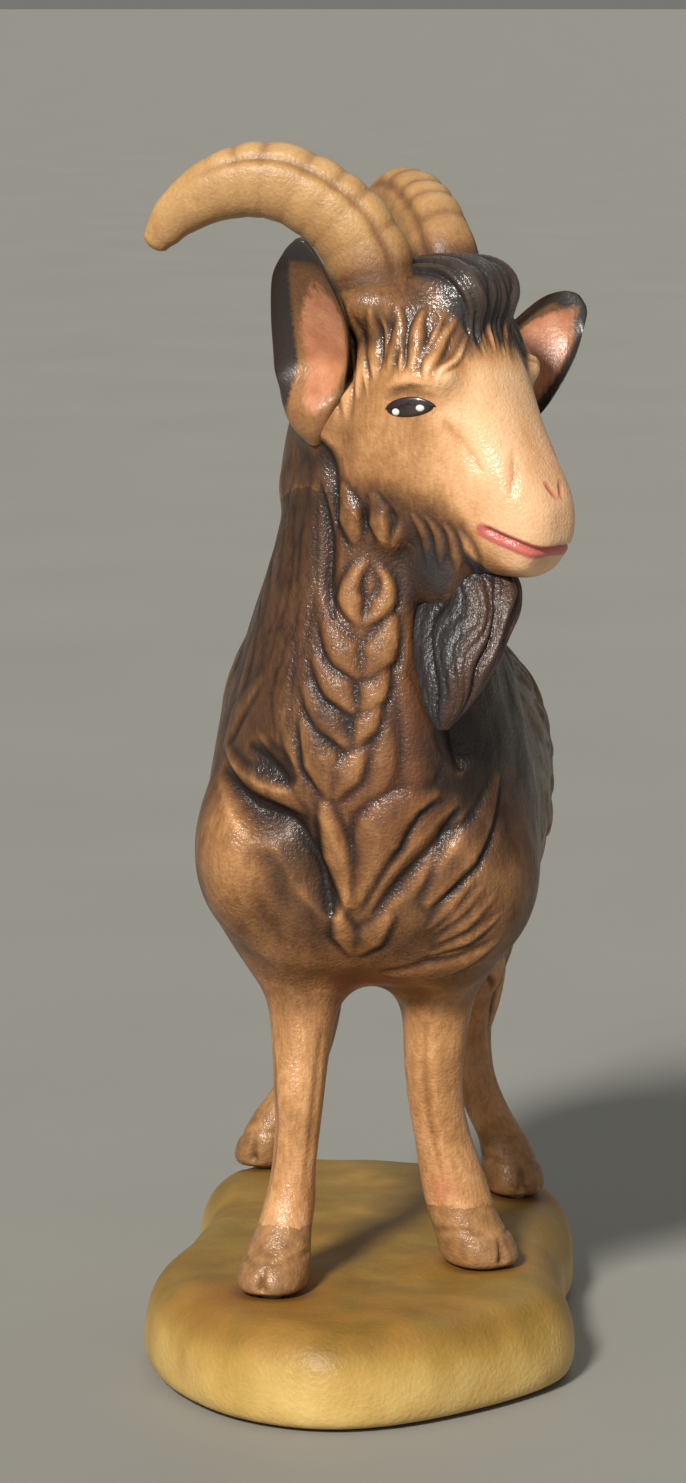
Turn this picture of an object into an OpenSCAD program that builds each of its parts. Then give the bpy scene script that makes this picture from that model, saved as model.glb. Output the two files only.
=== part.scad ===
// Carved and painted goat figurine on a plinth, glued up from turned and carved wooden pieces.
// Millimetres, +Z up. The origin is on the plinth's underside, at the middle of its length and width.
// The goat faces -Y and turns its head towards its own left side, which is +X.

/* [Plinth] */
// Length of the plinth, along the goat
plinth_l = 65; // [60:1:80]
// Width of the plinth
plinth_w = 35; // [32:1:44]
// Height of the plinth
plinth_h = 8; // [6:0.5:12]

/* [Body] */
// Height of the belly above the plinth
leg_h = 24; // [20:1:30]
// Length of the barrel, from rump to shoulder
barrel_l = 36; // [32:1:44]
// Width of the barrel at its widest
barrel_w = 28; // [25:1:34]
// Height of the barrel, from belly to back
barrel_h = 29; // [26:1:35]
// Height of the neck above the back
neck_h = 12; // [10:0.5:15]
// Diameter of the neck where the head sits on it
neck_d = 15; // [13:0.5:17]

/* [Head] */
// Turn of the head towards the goat's left, in degrees
head_yaw = 55; // [40:1:65]
// Height of the head, from chin to crown
head_h = 24.5; // [22:0.5:29]
// Width of the head at the eyes
head_w = 15; // [13:0.5:18]

/* [Horns, ears, beard and tail] */
// Diameter of a horn near its root
horn_d = 6.6; // [5.6:0.2:8]
// Sweep of a horn, straight from root to tip
horn_sweep = 17.5; // [14:0.5:21]
// Length of an ear outside the head
ear_l = 15; // [12:0.5:18]
// Length of the beard below the chin
beard_l = 13.5; // [11:0.5:16]
// Length of the tail outside the rump
tail_l = 8; // [6:0.5:10]

/* [Joinery] */
// Diameter of a leg's round tenon
leg_tenon_d = 4.4; // [3.6:0.2:5]
// Diameter of the dowel between neck and head
neck_dowel_d = 5; // [4:0.2:6]
// Diameter of a horn's round tenon
horn_tenon_d = 3.6; // [3:0.2:4.4]
// Diameter of the tenons of ears, beard and tail
small_tenon_d = 1.8; // [1.4:0.2:2.2]
// Diameter of a peg between hoof and plinth
peg_d = 1.6; // [1.2:0.2:2]
// Glue gap around every tenon and peg, on the radius
glue_gap = 0.05; // [0.03:0.01:0.1]

/* [Hidden] */

$fn = 48;

// Heights and places that everything else is worked out from
belly_z = plinth_h + leg_h;
barrel_z = belly_z + barrel_h / 2;
back_z = belly_z + barrel_h;
shoulder_y = -9;
rump_y = shoulder_y + barrel_l;
neck_x = 1;
neck_y = shoulder_y - 7;
neck_z = back_z + neck_h;
head_x = 4.1;
head_y = neck_y - 2.5;
chin_z = neck_z - 6;

// ---- Lofts: closed skins through rings that are spaced by a spline ----

function between(a, b, t) = a + (b - a) * t;
function spline_at(p, t) =
    let (n = len(p) - 1, i = min(floor(t), n - 1), f = t - i,
         a = p[max(i - 1, 0)], b = p[i], c = p[i + 1], d = p[min(i + 2, n)])
    0.5 * (2 * b + (c - a) * f + (2 * a - 5 * b + 4 * c - d) * f * f + (3 * b - a - 3 * c + d) * f * f * f);
function splined(rows, per) =
    [for (k = [0 : per * (len(rows) - 1)]) spline_at(rows, k / per)];

// A signed power, which squares an ellipse up as p goes above 2
function lobe(v, p) = sign(v) * pow(abs(v), 2 / p);

// One oval ring of n points: half width w along side, up and down along rise, squareness p
function oval(centre, side, rise, w, up, down, p, n) =
    [for (k = [0 : n - 1])
        let (a = 360 * k / n, s = lobe(sin(a), p))
        centre + side * w * lobe(cos(a), p) + rise * s * (s > 0 ? up : down)];

module skin(rings) {
    n = len(rings[0]);
    last = (len(rings) - 1) * n;
    walls = [for (r = [0 : len(rings) - 2]) for (k = [0 : n - 1])
        let (a = r * n + k, b = r * n + (k + 1) % n)
        each [[a, b + n, b], [a, a + n, b + n]]];
    caps = [[for (k = [0 : n - 1]) k], [for (k = [n - 1 : -1 : 0]) last + k]];
    polyhedron(points = [for (r = rings) each r], faces = concat(walls, caps), convexity = 6);
}

// Turns +Z to the direction d and moves the origin to p
module aim(p, d) {
    translate(p)
        rotate([0, acos(d[2] / norm(d)), atan2(d[1], d[0])])
            children();
}

// The room for a round tenon and the piece that it carries: a hole of the tenon's length below z = 0,
// opening into a seat of diameter seat and depth high above it
module socket(tenon, length, seat, high) {
    r = tenon / 2 + glue_gap;
    low = length + glue_gap;
    rotate_extrude()
        polygon([[0, -low], [r, -low], [r, 0], [seat / 2, 0], [seat / 2, high], [0, high]]);
}

// ---- Plinth ----

// The outline from the front point round by the goat's left side, as shares of half the width and length
plinth_outline = [
    [-0.20, -1.00], [0.20, -0.95], [0.62, -0.76], [0.91, -0.54], [0.96, -0.34], [0.90, -0.10],
    [0.89, 0.18], [0.92, 0.42], [0.86, 0.68], [0.60, 0.90], [0.10, 0.98], [-0.42, 1.00],
    [-0.82, 0.94], [-0.99, 0.74], [-0.95, 0.42], [-0.98, 0.12], [-1.08, -0.18], [-1.06, -0.42],
    [-0.90, -0.68], [-0.60, -0.90]];
// Height as a share of the plinth's, and how far the wall is drawn in there
plinth_wall = [[0, 0.6], [0.10, 0], [0.38, 0], [0.64, 0.4], [0.82, 1.1], [0.94, 2.1], [1, 3.4]];

function closed_at(p, t) =
    let (n = len(p), i = floor(t), f = t - i,
         a = p[(i + n - 1) % n], b = p[i % n], c = p[(i + 1) % n], d = p[(i + 2) % n])
    0.5 * (2 * b + (c - a) * f + (2 * a - 5 * b + 4 * c - d) * f * f + (3 * b - a - 3 * c + d) * f * f * f);

function drawn_in(points, by) =
    [for (k = [0 : len(points) - 1])
        let (n = len(points), d = points[(k + 1) % n] - points[(k + n - 1) % n], u = d / norm(d))
        points[k] + by * [-u[1], u[0]]];

module plinth() {
    steps = 3 * len(plinth_outline);
    edge = [for (k = [0 : steps - 1])
        let (q = closed_at(plinth_outline, k / 3)) [q[0] * plinth_w / 2, q[1] * plinth_l / 2]];
    color([0.62, 0.50, 0.22])
        difference() {
            skin([for (w = plinth_wall) [for (q = drawn_in(edge, w[1])) [q[0], q[1], w[0] * plinth_h]]]);
            for (f = feet)
                translate([f[0], f[1], peg_floor - glue_gap])
                    cylinder(d = peg_d + 2 * glue_gap, h = plinth_h);
        }
}

// ---- Legs ----

// Where the four hooves stand: goat's right and left front, then right and left rear
feet = [
    [-plinth_w / 2 + 9.8, -plinth_l / 2 + 13.9],
    [plinth_w / 2 - 8.5, -plinth_l / 2 + 24.2],
    [-plinth_w / 2 + 5.2, plinth_l / 2 - 5.6],
    [plinth_w / 2 - 6.7, plinth_l / 2 - 15]];
// How far in from the barrel's side, and back from the shoulder, each leg enters the body
leg_inset = [8.4, 8.4, 7.8, 7.8];
leg_setback = [-3.5, -2.0, 24.5, 22.5];
leg_top = [for (i = [0 : 3])
    [(i % 2 == 0 ? -1 : 1) * (barrel_w / 2 - leg_inset[i]), shoulder_y + leg_setback[i]]];
seat_rise = 5;
seat_z = belly_z + seat_rise;
leg_tenon_l = 6;
// The turn of each hoof's toe from straight ahead, towards the goat's left
toe_turn = [-12, 38, -14, 16];

// Rows of a leg: share of the height, shift across, shift back, half width, half depth
front_leg_slim = [
    [0.00, 0.0, 0.0, 3.0, 3.5], [0.07, 0.1, 0.2, 2.9, 3.2], [0.15, 0.5, 1.0, 2.3, 2.6],
    [0.23, 0.8, 1.6, 2.1, 2.4], [0.32, 0.9, 1.2, 1.85, 1.9], [0.45, 1.0, 0.4, 1.9, 2.0],
    [0.55, 0.9, -0.3, 2.1, 2.4], [0.64, 0.8, -0.3, 2.3, 2.5], [0.78, 0.6, 0.0, 2.8, 3.1],
    [0.90, 0.3, 0.2, 3.3, 3.4], [1.00, 0.0, 0.0, 3.45, 3.45]];
front_leg_stout = [
    [0.00, 0.0, 0.0, 3.2, 3.6], [0.07, -0.3, 0.2, 3.1, 3.4], [0.15, -1.2, 0.8, 2.8, 2.9],
    [0.24, -1.6, 1.1, 2.7, 2.7], [0.36, -2.0, 0.8, 2.4, 2.3], [0.48, -2.2, 0.2, 2.35, 2.3],
    [0.60, -1.9, -0.2, 2.5, 2.6], [0.70, -1.4, -0.2, 2.7, 2.8], [0.82, -0.8, 0.0, 3.0, 3.1],
    [0.92, -0.3, 0.1, 3.35, 3.4], [1.00, 0.0, 0.0, 3.45, 3.45]];
rear_leg_outer = [
    [0.00, 0.0, 0.0, 2.7, 3.2], [0.07, 0.0, 0.3, 2.6, 3.0], [0.15, -0.3, 1.2, 2.1, 2.4],
    [0.23, -1.4, 2.6, 1.9, 2.2], [0.34, -2.2, 4.2, 1.75, 1.9], [0.46, -2.2, 5.6, 1.9, 2.4],
    [0.54, -1.8, 5.2, 2.2, 2.9], [0.66, -1.2, 3.4, 2.9, 3.8], [0.80, -0.5, 1.4, 3.8, 4.4],
    [1.00, 0.0, 0.0, 4.65, 4.65]];

// The legs' rows in the order of the feet. Shifts across are turned round by -1 on the right rear leg only
leg_rows = [front_leg_slim, front_leg_stout, rear_leg_outer, rear_leg_outer];
leg_side = [1, 1, -1, 1];

// The rings of leg i, grown all round by grow
function leg_rings(i, grow = 0) =
    [for (r = splined(leg_rows[i], 3))
        let (c = between(feet[i], leg_top[i], r[0]), turn = toe_turn[i] * (1 - r[0]))
        oval([c[0] + leg_side[i] * r[1], c[1] + r[2], plinth_h + (seat_z - plinth_h) * r[0]],
             [cos(turn), sin(turn), 0], [-sin(turn), cos(turn), 0],
             r[3] + grow, r[4] + grow, r[4] + grow, 2.2, 20)];

module leg(i) {
    color([0.72, 0.50, 0.32])
        difference() {
            union() {
                skin(leg_rings(i));
                translate([leg_top[i][0], leg_top[i][1], seat_z - 1])
                    cylinder(d = leg_tenon_d, h = leg_tenon_l + 1);
            }
            translate([feet[i][0], feet[i][1], plinth_h - 1])
                cylinder(d = peg_d + 2 * glue_gap, h = peg_top - plinth_h + 1 + glue_gap);
            hoof_cleft(i, leg_rows[i][0][4]);
        }
}

// The room in the torso for the top of leg i and its tenon
module leg_room(i) {
    skin([for (r = leg_rings(i, glue_gap)) if (r[0][2] > belly_z - 8) r]);
    translate([leg_top[i][0], leg_top[i][1], seat_z - 1])
        cylinder(d = leg_tenon_d + 2 * glue_gap, h = leg_tenon_l + 1 + glue_gap);
}

// The slot between the two toes
module hoof_cleft(i, reach) {
    translate([feet[i][0], feet[i][1], plinth_h])
        rotate([0, 0, toe_turn[i]])
            translate([0, -reach, -1])
                rotate([14, 0, 0])
                    translate([-0.3, -2, 0])
                        cube([0.6, 3.2, 5]);
}

// ---- Pegs between the hooves and the plinth ----

peg_floor = 2.5;
peg_top = plinth_h + 3;

module hoof_pegs() {
    color([0.80, 0.66, 0.45])
        for (f = feet)
            translate([f[0], f[1], peg_floor])
                cylinder(d = peg_d, h = peg_top - peg_floor);
}

// ---- Torso: barrel, chest and neck in one skin ----

// Rows: back from the shoulder as a share of the barrel, forward shift, height over the barrel's middle,
// tilt of the ring, half width, dorsal and ventral reach as shares of the barrel's halves
torso_rows = [
    [1.00, 0, 0.10, -24, 0.26, 0.30, 0.34], [0.97, 0, 0.08, -20, 0.52, 0.56, 0.60],
    [0.90, 0, 0.05, -14, 0.72, 0.78, 0.78], [0.78, 0, 0.02, -7, 0.86, 0.91, 0.88],
    [0.60, 0, 0.00, -2, 0.95, 0.95, 0.94], [0.42, 0, 0.00, 0, 1.00, 0.95, 1.00],
    [0.24, 0, 0.00, 1, 1.00, 0.97, 1.02], [0.08, 0, 0.00, 7, 0.96, 1.00, 1.01],
    [0.00, 3.0, 0.17, 29, 0.91, 0.975, 1.09], [0.00, 5.0, 0.66, 54, 0.80, 0.72, 0.91]];
// Rows of the neck: share of the way up to the head, tilt, half width, dorsal and ventral reach
neck_rows = [
    [0.20, 72, 1.32, 1.22, 1.42], [0.50, 80, 1.18, 1.14, 1.22],
    [0.80, 86, 1.05, 1.04, 1.08], [1.00, 90, 1.00, 1.00, 1.00]];
// Muscles and tufts: row, spread along, angle, spread round, height
bulges = [
    [2.8, 1.5, -40, 26, 2.6], [2.4, 1.1, -64, 16, 2.4], [2.6, 1.3, 10, 26, 0.9],
    [7.9, 0.8, -28, 24, 1.6], [7.6, 0.8, -58, 20, 1.6], [8.8, 0.6, 25, 22, 0.8]];

function torso_row(r) =
    [0, shoulder_y + r[0] * barrel_l - r[1], barrel_z + r[2] * barrel_h / 2, r[3],
     r[4] * barrel_w / 2, r[5] * barrel_h / 2, r[6] * barrel_h / 2];
function neck_row(r) =
    [between(0, neck_x, r[0]), between(shoulder_y - 5.4, neck_y, r[0]),
     between(barrel_z + 0.85 * barrel_h / 2, neck_z, r[0]), r[1],
     r[2] * neck_d / 2, r[3] * neck_d / 2, r[4] * neck_d / 2];

function hump(row, angle) =
    let (folded = angle > 180 ? angle - 360 : angle, near = abs(folded) > 90 ? 180 - abs(folded) : abs(folded),
         a = folded < 0 ? -near : near)
    [for (b = bulges) b[4] * exp(-pow((row - b[0]) / b[1], 2) - pow((a - b[2]) / b[3], 2))] * [for (b = bulges) 1];

function torso_ring(row, r) =
    let (rise = [0, sin(r[3]), cos(r[3])], n = 40, p = 2 + min(0.3, max(0, 12.6 - row) * 0.12))
    [for (k = [0 : n - 1])
        let (a = 360 * k / n, s = lobe(sin(a), p), c = lobe(cos(a), p), h = hump(row, a))
        [r[0], r[1], r[2]] + [1, 0, 0] * (r[4] * c + h * cos(a)) + rise * (s * (s > 0 ? r[5] : r[6]) + h * sin(a))];

// A hole for a small round tenon, from z = 0 down
module small_hole() {
    translate([0, 0, -small_tenon_l - glue_gap])
        cylinder(d = small_tenon_d + 2 * glue_gap, h = small_tenon_l + glue_gap + 0.4);
}

// The room for the beard and its tenon, in the head and where the beard passes the throat
module beard_room() {
    skin(beard_rings(glue_gap));
    aim(beard_root, beard_way)
        small_hole();
}

module torso() {
    rows = concat([for (r = torso_rows) torso_row(r)], [for (r = neck_rows) neck_row(r)]);
    per = 3;
    fine = splined(rows, per);
    body = [for (k = [0 : len(fine) - 1]) torso_ring(k / per, fine[k])];
    dome = [for (c = neck_cap) [for (k = [0 : 39])
        [neck_x + c[0] * neck_d / 2 * cos(9 * k), neck_y + c[0] * neck_d / 2 * sin(9 * k), neck_z + c[1] * neck_cap_h]]];
    color([0.36, 0.22, 0.13])
        difference() {
            skin(concat(body, dome));
            for (i = [0 : 3])
                leg_room(i);
            translate([neck_x, neck_y, neck_z - neck_dowel_low - glue_gap])
                cylinder(d = neck_dowel_d + 2 * glue_gap, h = neck_dowel_low + neck_cap_h + 1);
            aim(tail_root, tail_way)
                socket(small_tenon_d, small_tenon_l, tail_seat_d, 4);
            beard_room();
        }
}

// The neck ends in a low dome with a flat top. Its rings lie on an ellipse: share of the radius, share of the height
neck_cap_h = 3.5;
neck_cap = [for (t = [15 : 15 : 60]) [cos(t), sin(t)]];

// ---- Dowel between neck and head ----

neck_dowel_low = 6;
neck_dowel_high = 8;

module neck_dowel() {
    color([0.80, 0.66, 0.45])
        translate([neck_x, neck_y, neck_z - neck_dowel_low])
            cylinder(d = neck_dowel_d, h = neck_dowel_low + neck_dowel_high);
}

// ---- Tail ----

small_tenon_l = 3;
tail_seat_d = 4.6;
tail_root = [0, rump_y - 4.6, barrel_z + 0.55 * barrel_h / 2];
tail_way = [0, 0.78, 0.62];

module tail() {
    // Share of the length, bend upward, half width, half depth
    rows = [[0, 0, 2.1, 2.1], [0.2, 0.1, 2.2, 2.0], [0.45, 0.5, 2.1, 1.7], [0.7, 1.3, 1.7, 1.3],
            [0.9, 2.2, 1.0, 0.8], [1, 2.7, 0.4, 0.4]];
    color([0.25, 0.16, 0.11])
        aim(tail_root, tail_way)
            union() {
                skin([for (r = splined(rows, 3))
                    oval([-r[1], 0, r[0] * tail_l], [1, 0, 0], [0, 1, 0], r[3], r[2], r[2], 2, 16)]);
                translate([0, 0, -small_tenon_l])
                    cylinder(d = small_tenon_d, h = small_tenon_l + 0.5);
            }
}

// ---- Head ----

// A point of the head's own frame, forward, to the goat's left and up from the chin
function in_head(f, s, u) =
    [head_x + f * sin(head_yaw) + s * cos(head_yaw), head_y - f * cos(head_yaw) + s * sin(head_yaw), chin_z + u];
function head_way(f, s, u) = in_head(f, s, u) - in_head(0, 0, 0);

// Rows: forward, half width as a share, height of the widest line, up and down from it, as shares of head_h
head_rows = [
    [-10.8, 0.34, 0.32, 0.06, 0.14], [-10.0, 0.60, 0.34, 0.16, 0.24], [-8.4, 0.78, 0.38, 0.29, 0.34],
    [-6.0, 0.90, 0.46, 0.40, 0.44], [-3.0, 0.98, 0.52, 0.45, 0.48], [0.6, 1.00, 0.53, 0.46, 0.49],
    [3.6, 0.96, 0.53, 0.46, 0.49], [6.0, 0.82, 0.50, 0.41, 0.48], [8.0, 0.66, 0.42, 0.31, 0.41],
    [10.0, 0.56, 0.31, 0.24, 0.30], [11.8, 0.51, 0.24, 0.18, 0.22], [13.2, 0.41, 0.20, 0.12, 0.14],
    [14.1, 0.22, 0.19, 0.06, 0.07]];
// How far below the neck's top the head is opened for it
seat_cone_h = 14;

// The room for the neck's end: its dome and the neck's flare below it
module neck_seat() {
    r = neck_d / 2 + glue_gap;
    h = neck_cap_h + glue_gap;
    translate([neck_x, neck_y, neck_z])
        rotate_extrude()
            polygon(concat([[0, -seat_cone_h], [r + 4.6, -seat_cone_h], [r, 0]],
                           [for (t = [10 : 10 : 60]) [r * cos(t), h * sin(t)]], [[0, h * sin(60)]]));
}

module head() {
    fine = splined(head_rows, 3);
    side = [cos(head_yaw), sin(head_yaw), 0];
    color([0.75, 0.53, 0.34])
        difference() {
            skin([for (r = fine)
                oval(in_head(r[0], 0, r[2] * head_h), side, [0, 0, 1],
                     r[1] * head_w / 2, r[3] * head_h, r[4] * head_h, 2.3, 32)]);
            neck_seat();
            translate([neck_x, neck_y, neck_z])
                cylinder(d = neck_dowel_d + 2 * glue_gap, h = neck_dowel_high + glue_gap);
            for (s = [-1, 1]) {
                aim(horn_root(s), horn_way(s))
                    socket(horn_tenon_d, horn_tenon_l, horn_d + 0.8, 8);
                aim(ear_root(s), ear_way(s)) {
                    small_hole();
                    rotate([0, 0, ear_turn(s)])
                        ear_blade(glue_gap);
                }
            }
            beard_room();
        }
}

// ---- Horns ----

horn_tenon_l = 5;
function horn_root(s) = in_head(-0.8, s * 4.5, 0.885 * head_h);
function horn_way(s) = head_way(-0.30, s * 0.25, 0.92);

// Share of the sweep, rise over the root, and thickness as a share of the diameter
horn_rows = [
    [0.00, 0.0, 1.00], [0.02, 2.5, 1.00], [0.13, 5.9, 0.95], [0.34, 8.5, 0.91], [0.53, 9.2, 0.87],
    [0.73, 8.4, 0.76], [0.89, 6.6, 0.58], [0.97, 5.0, 0.40], [1.00, 4.3, 0.22]];

module horn(s, lift) {
    // The horn sweeps back and outward from the head, in one upright plane
    way = head_way(-0.86, s * 0.51, 0);
    across = [-way[1], way[0], 0];
    root = horn_root(s);
    fine = splined(horn_rows, 4);
    n = len(fine);
    centres = [for (r = fine) root + way * r[0] * horn_sweep + [0, 0, r[1] * lift]];
    rings = [for (k = [0 : n - 1])
        let (d = k == 0 ? horn_way(s) : centres[min(k + 1, n - 1)] - centres[max(k - 1, 0)],
             along = d / norm(d), side = cross(along, cross(across, along)),
             u = side / norm(side), v = cross(along, u),
             ridge = 1 + 0.035 * sin(360 * k / 3) * (k < 0.75 * n ? 1 : 0))
        oval(centres[k], u, v, fine[k][2] * horn_d / 2 * 0.86,
             fine[k][2] * horn_d / 2 * ridge, fine[k][2] * horn_d / 2, 2.2, 24)];
    color([0.76, 0.58, 0.36])
        union() {
            skin(rings);
            aim(root, horn_way(s))
                translate([0, 0, -horn_tenon_l])
                    cylinder(d = horn_tenon_d, h = horn_tenon_l + 0.6);
        }
}

// ---- Ears ----

function ear_root(s) = in_head(-4.0, s * (head_w / 2 - 1.6), 0.54 * head_h);
// The right ear stands up and the left one is held out to its side
function ear_way(s) = s < 0 ? head_way(0.14, -0.42, 0.88) : head_way(0.57, 0.65, 0.50);
function ear_turn(s) = s < 0 ? 78 : -12;

// Share of the length, half width, half thickness
ear_rows = [
    [0, 1.95, 1.95], [0.14, 2.4, 1.8], [0.32, 3.2, 1.4], [0.55, 3.35, 1.15], [0.78, 2.5, 0.9],
    [0.93, 1.3, 0.6], [1, 0.45, 0.35]];

// The ear's blade, grown all round by grow
module ear_blade(grow = 0) {
    skin([for (r = splined(ear_rows, 3))
        oval([0, 0, r[0] * ear_l], [1, 0, 0], [0, 1, 0], r[1] + grow, r[2] + grow, r[2] + grow, 2, 20)]);
}

module ear(s) {
    color([0.45, 0.30, 0.22])
        aim(ear_root(s), ear_way(s))
            rotate([0, 0, ear_turn(s)])
                union() {
                    ear_blade();
                    translate([0, 0, -small_tenon_l])
                        cylinder(d = small_tenon_d, h = small_tenon_l + 0.5);
                }
}

// ---- Beard ----

beard_root = in_head(5.2, 0, 0.075 * head_h);
beard_way = [0, 0, -1];

// Share of the length, shift forward in the head's frame, shift to its left, half width, half thickness
beard_rows = [
    [0, 0, 0, 2.4, 2.4], [0.12, 0.23, -0.33, 3.9, 2.7], [0.3, 0.80, -1.35, 4.6, 2.8],
    [0.5, 1.18, -2.67, 4.1, 2.5], [0.7, 1.22, -3.86, 3.1, 2.1], [0.88, 1.24, -4.62, 1.8, 1.4],
    [1, 1.14, -4.92, 0.6, 0.6]];

// The beard's rings, grown all round by grow
function beard_rings(grow = 0) =
    let (side = head_way(1, 0, 0), deep = head_way(0, 1, 0))
    [for (r = splined(beard_rows, 3))
        oval(beard_root + side * r[1] + deep * r[2] - [0, 0, r[0] * beard_l], side, -deep,
             r[3] + grow, r[4] + grow, r[4] + grow, 2.1, 20)];

module beard() {
    color([0.16, 0.14, 0.15])
        union() {
            skin(beard_rings());
            translate(beard_root - [0, 0, 0.5])
                cylinder(d = small_tenon_d, h = small_tenon_l + 0.5);
        }
}

plinth();
torso();
head();
beard();
horn(-1, 1);  // horn_right
horn(1, 0.72);  // horn_left
ear(-1);  // ear_right
ear(1);  // ear_left
leg(0);  // leg_front_right
leg(1);  // leg_front_left
leg(2);  // leg_rear_right
leg(3);  // leg_rear_left
tail();
neck_dowel();
hoof_pegs();
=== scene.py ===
"""Looks of a carved and painted goat figurine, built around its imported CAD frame."""
import math

import bpy
import numpy as np
import openvdb
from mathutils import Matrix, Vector


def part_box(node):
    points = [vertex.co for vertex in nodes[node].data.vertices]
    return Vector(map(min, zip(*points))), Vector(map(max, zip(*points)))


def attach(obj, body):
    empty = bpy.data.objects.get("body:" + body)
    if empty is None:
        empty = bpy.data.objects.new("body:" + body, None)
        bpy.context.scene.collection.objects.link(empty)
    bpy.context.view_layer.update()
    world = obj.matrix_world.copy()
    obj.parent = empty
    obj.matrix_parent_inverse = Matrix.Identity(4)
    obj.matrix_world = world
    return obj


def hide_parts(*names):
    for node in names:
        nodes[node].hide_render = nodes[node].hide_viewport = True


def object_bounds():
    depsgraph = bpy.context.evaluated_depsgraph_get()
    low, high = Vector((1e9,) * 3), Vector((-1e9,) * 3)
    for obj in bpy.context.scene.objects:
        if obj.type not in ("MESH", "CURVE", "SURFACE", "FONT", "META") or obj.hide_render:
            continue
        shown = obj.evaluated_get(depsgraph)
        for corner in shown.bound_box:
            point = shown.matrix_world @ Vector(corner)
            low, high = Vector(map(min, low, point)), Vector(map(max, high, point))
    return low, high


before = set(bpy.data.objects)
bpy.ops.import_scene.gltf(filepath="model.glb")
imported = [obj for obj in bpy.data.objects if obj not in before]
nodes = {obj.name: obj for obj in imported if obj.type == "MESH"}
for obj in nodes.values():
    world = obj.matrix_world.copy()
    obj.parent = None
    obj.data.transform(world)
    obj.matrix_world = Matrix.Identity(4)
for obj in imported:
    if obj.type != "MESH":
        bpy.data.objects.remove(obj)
cad_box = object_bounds()

MM = 0.001
STEP = 0.3
BAND = 4.0


def box_mm(node):
    low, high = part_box(node)
    return np.array(low) / MM, np.array(high) / MM


# ---- The frame's own places, in millimetres ----

dowel_low, dowel_high = box_mm("neck_dowel")
plinth_low, plinth_high = box_mm("plinth")
torso_low, _ = box_mm("torso")
NECK = np.array([*(dowel_low[:2] + dowel_high[:2]) / 2, dowel_low[2] + 6])
X_AXIS, Y_AXIS, UP = np.eye(3)

# The head's own frame: forward, to the goat's left, and up from the chin
YAW = math.radians(55)
CHIN = NECK + np.array([3.1, -2.5, -6])
FORWARD = np.array([math.sin(YAW), -math.cos(YAW), 0])
LEFT = np.array([math.cos(YAW), math.sin(YAW), 0])
HEAD_H = 24.5
# Rays that look for the head's side start this far out from its middle
BESIDE_HEAD = 14


def head_way(f, s, u):
    return f * FORWARD + s * LEFT + u * UP


def head_point(f, s, u):
    return CHIN + head_way(f, s, u)


def head_axes(points):
    d = points - CHIN
    return d @ FORWARD, d @ LEFT, d @ UP


# ---- Distance fields on one grid ----

class Field:
    """A box of samples, a step apart, with its lowest corner on a whole multiple of the step."""

    def __init__(self, low, high, step):
        self.step = step
        self.first = np.floor(np.array(low) / step).astype(int)
        self.shape = tuple(np.ceil(np.array(high) / step).astype(int) - self.first + 1)

    def axes(self):
        places = [(self.first[a] + np.arange(self.shape[a])) * self.step for a in range(3)]
        return np.ix_(*(a.astype(np.float32) for a in places))

    def corner(self):
        return tuple(int(i) for i in self.first)


def node_triangles(node):
    mesh = nodes[node].data
    mesh.calc_loop_triangles()
    co = np.empty(len(mesh.vertices) * 3, np.float32)
    mesh.vertices.foreach_get("co", co)
    tri = np.empty(len(mesh.loop_triangles) * 3, np.int32)
    mesh.loop_triangles.foreach_get("vertices", tri)
    return co.reshape(-1, 3) / MM, tri.reshape(-1, 3)


def distance(field, node):
    points, tris = node_triangles(node)
    grid = openvdb.FloatGrid.createLevelSetFromPolygons(
        points, triangles=tris, transform=openvdb.createLinearTransform(voxelSize=field.step),
        halfWidth=BAND / field.step)
    out = np.empty(field.shape, np.float32)
    grid.copyToArray(out, ijk=field.corner())
    return out


def soft(value, low, high):
    t = np.clip((value - low) / (high - low), 0, 1)
    return t * t * (3 - 2 * t)


def smooth_min(a, b, k):
    h = np.maximum(k - np.abs(a - b), 0)
    return np.minimum(a, b) - h * h * (0.25 / k)


def blurred(a, sigma):
    r = max(1, int(math.ceil(2.6 * sigma)))
    kernel = np.exp(-0.5 * (np.arange(-r, r + 1) / sigma) ** 2)
    kernel /= kernel.sum()
    for axis in range(3):
        padded = np.pad(a, [(r, r) if b == axis else (0, 0) for b in range(3)], mode="edge")
        n = a.shape[axis]
        out = np.zeros_like(a)
        for j, w in enumerate(kernel):
            part = [slice(None)] * 3
            part[axis] = slice(j, j + n)
            out += np.float32(w) * padded[tuple(part)]
        a = out
    return a


def resampled(a, field, target):
    """The samples of field, read on target's finer grid by cubic interpolation along each axis."""
    for axis in range(3):
        at = (target.first[axis] + np.arange(target.shape[axis])) * target.step / field.step - field.first[axis]
        base = np.floor(at).astype(int)
        t = (at - base).astype(np.float32)
        weights = [0.5 * (-t + 2 * t * t - t ** 3), 0.5 * (2 - 5 * t * t + 3 * t ** 3),
                   0.5 * (t + 4 * t * t - 3 * t ** 3), 0.5 * (t ** 3 - t * t)]
        shape = [-1 if b == axis else 1 for b in range(3)]
        out = 0
        for j, w in enumerate(weights):
            index = np.clip(base + j - 1, 0, a.shape[axis] - 1)
            out = out + np.take(a, index, axis=axis) * w.reshape(shape)
        a = out
    return a


LEGS = ["leg_front_right", "leg_front_left", "leg_rear_right", "leg_rear_left"]
body_nodes = ["torso", "head", "tail", *LEGS]
boxes = [box_mm(n) for n in body_nodes]
field = Field(np.min([b[0] for b in boxes], axis=0) - 3, np.max([b[1] for b in boxes], axis=0) + 3, STEP)
X, Y, Z = field.axes()
dist = {n: distance(field, n) for n in body_nodes}

body = dist["torso"]
for n in LEGS:
    body = smooth_min(body, dist[n], 3.2)
body = smooth_min(body, dist["tail"], 1.6)
body = smooth_min(body, dist["head"], 2.6)
body = blurred(body - 0.35, 0.62 / STEP) + 0.30


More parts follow.
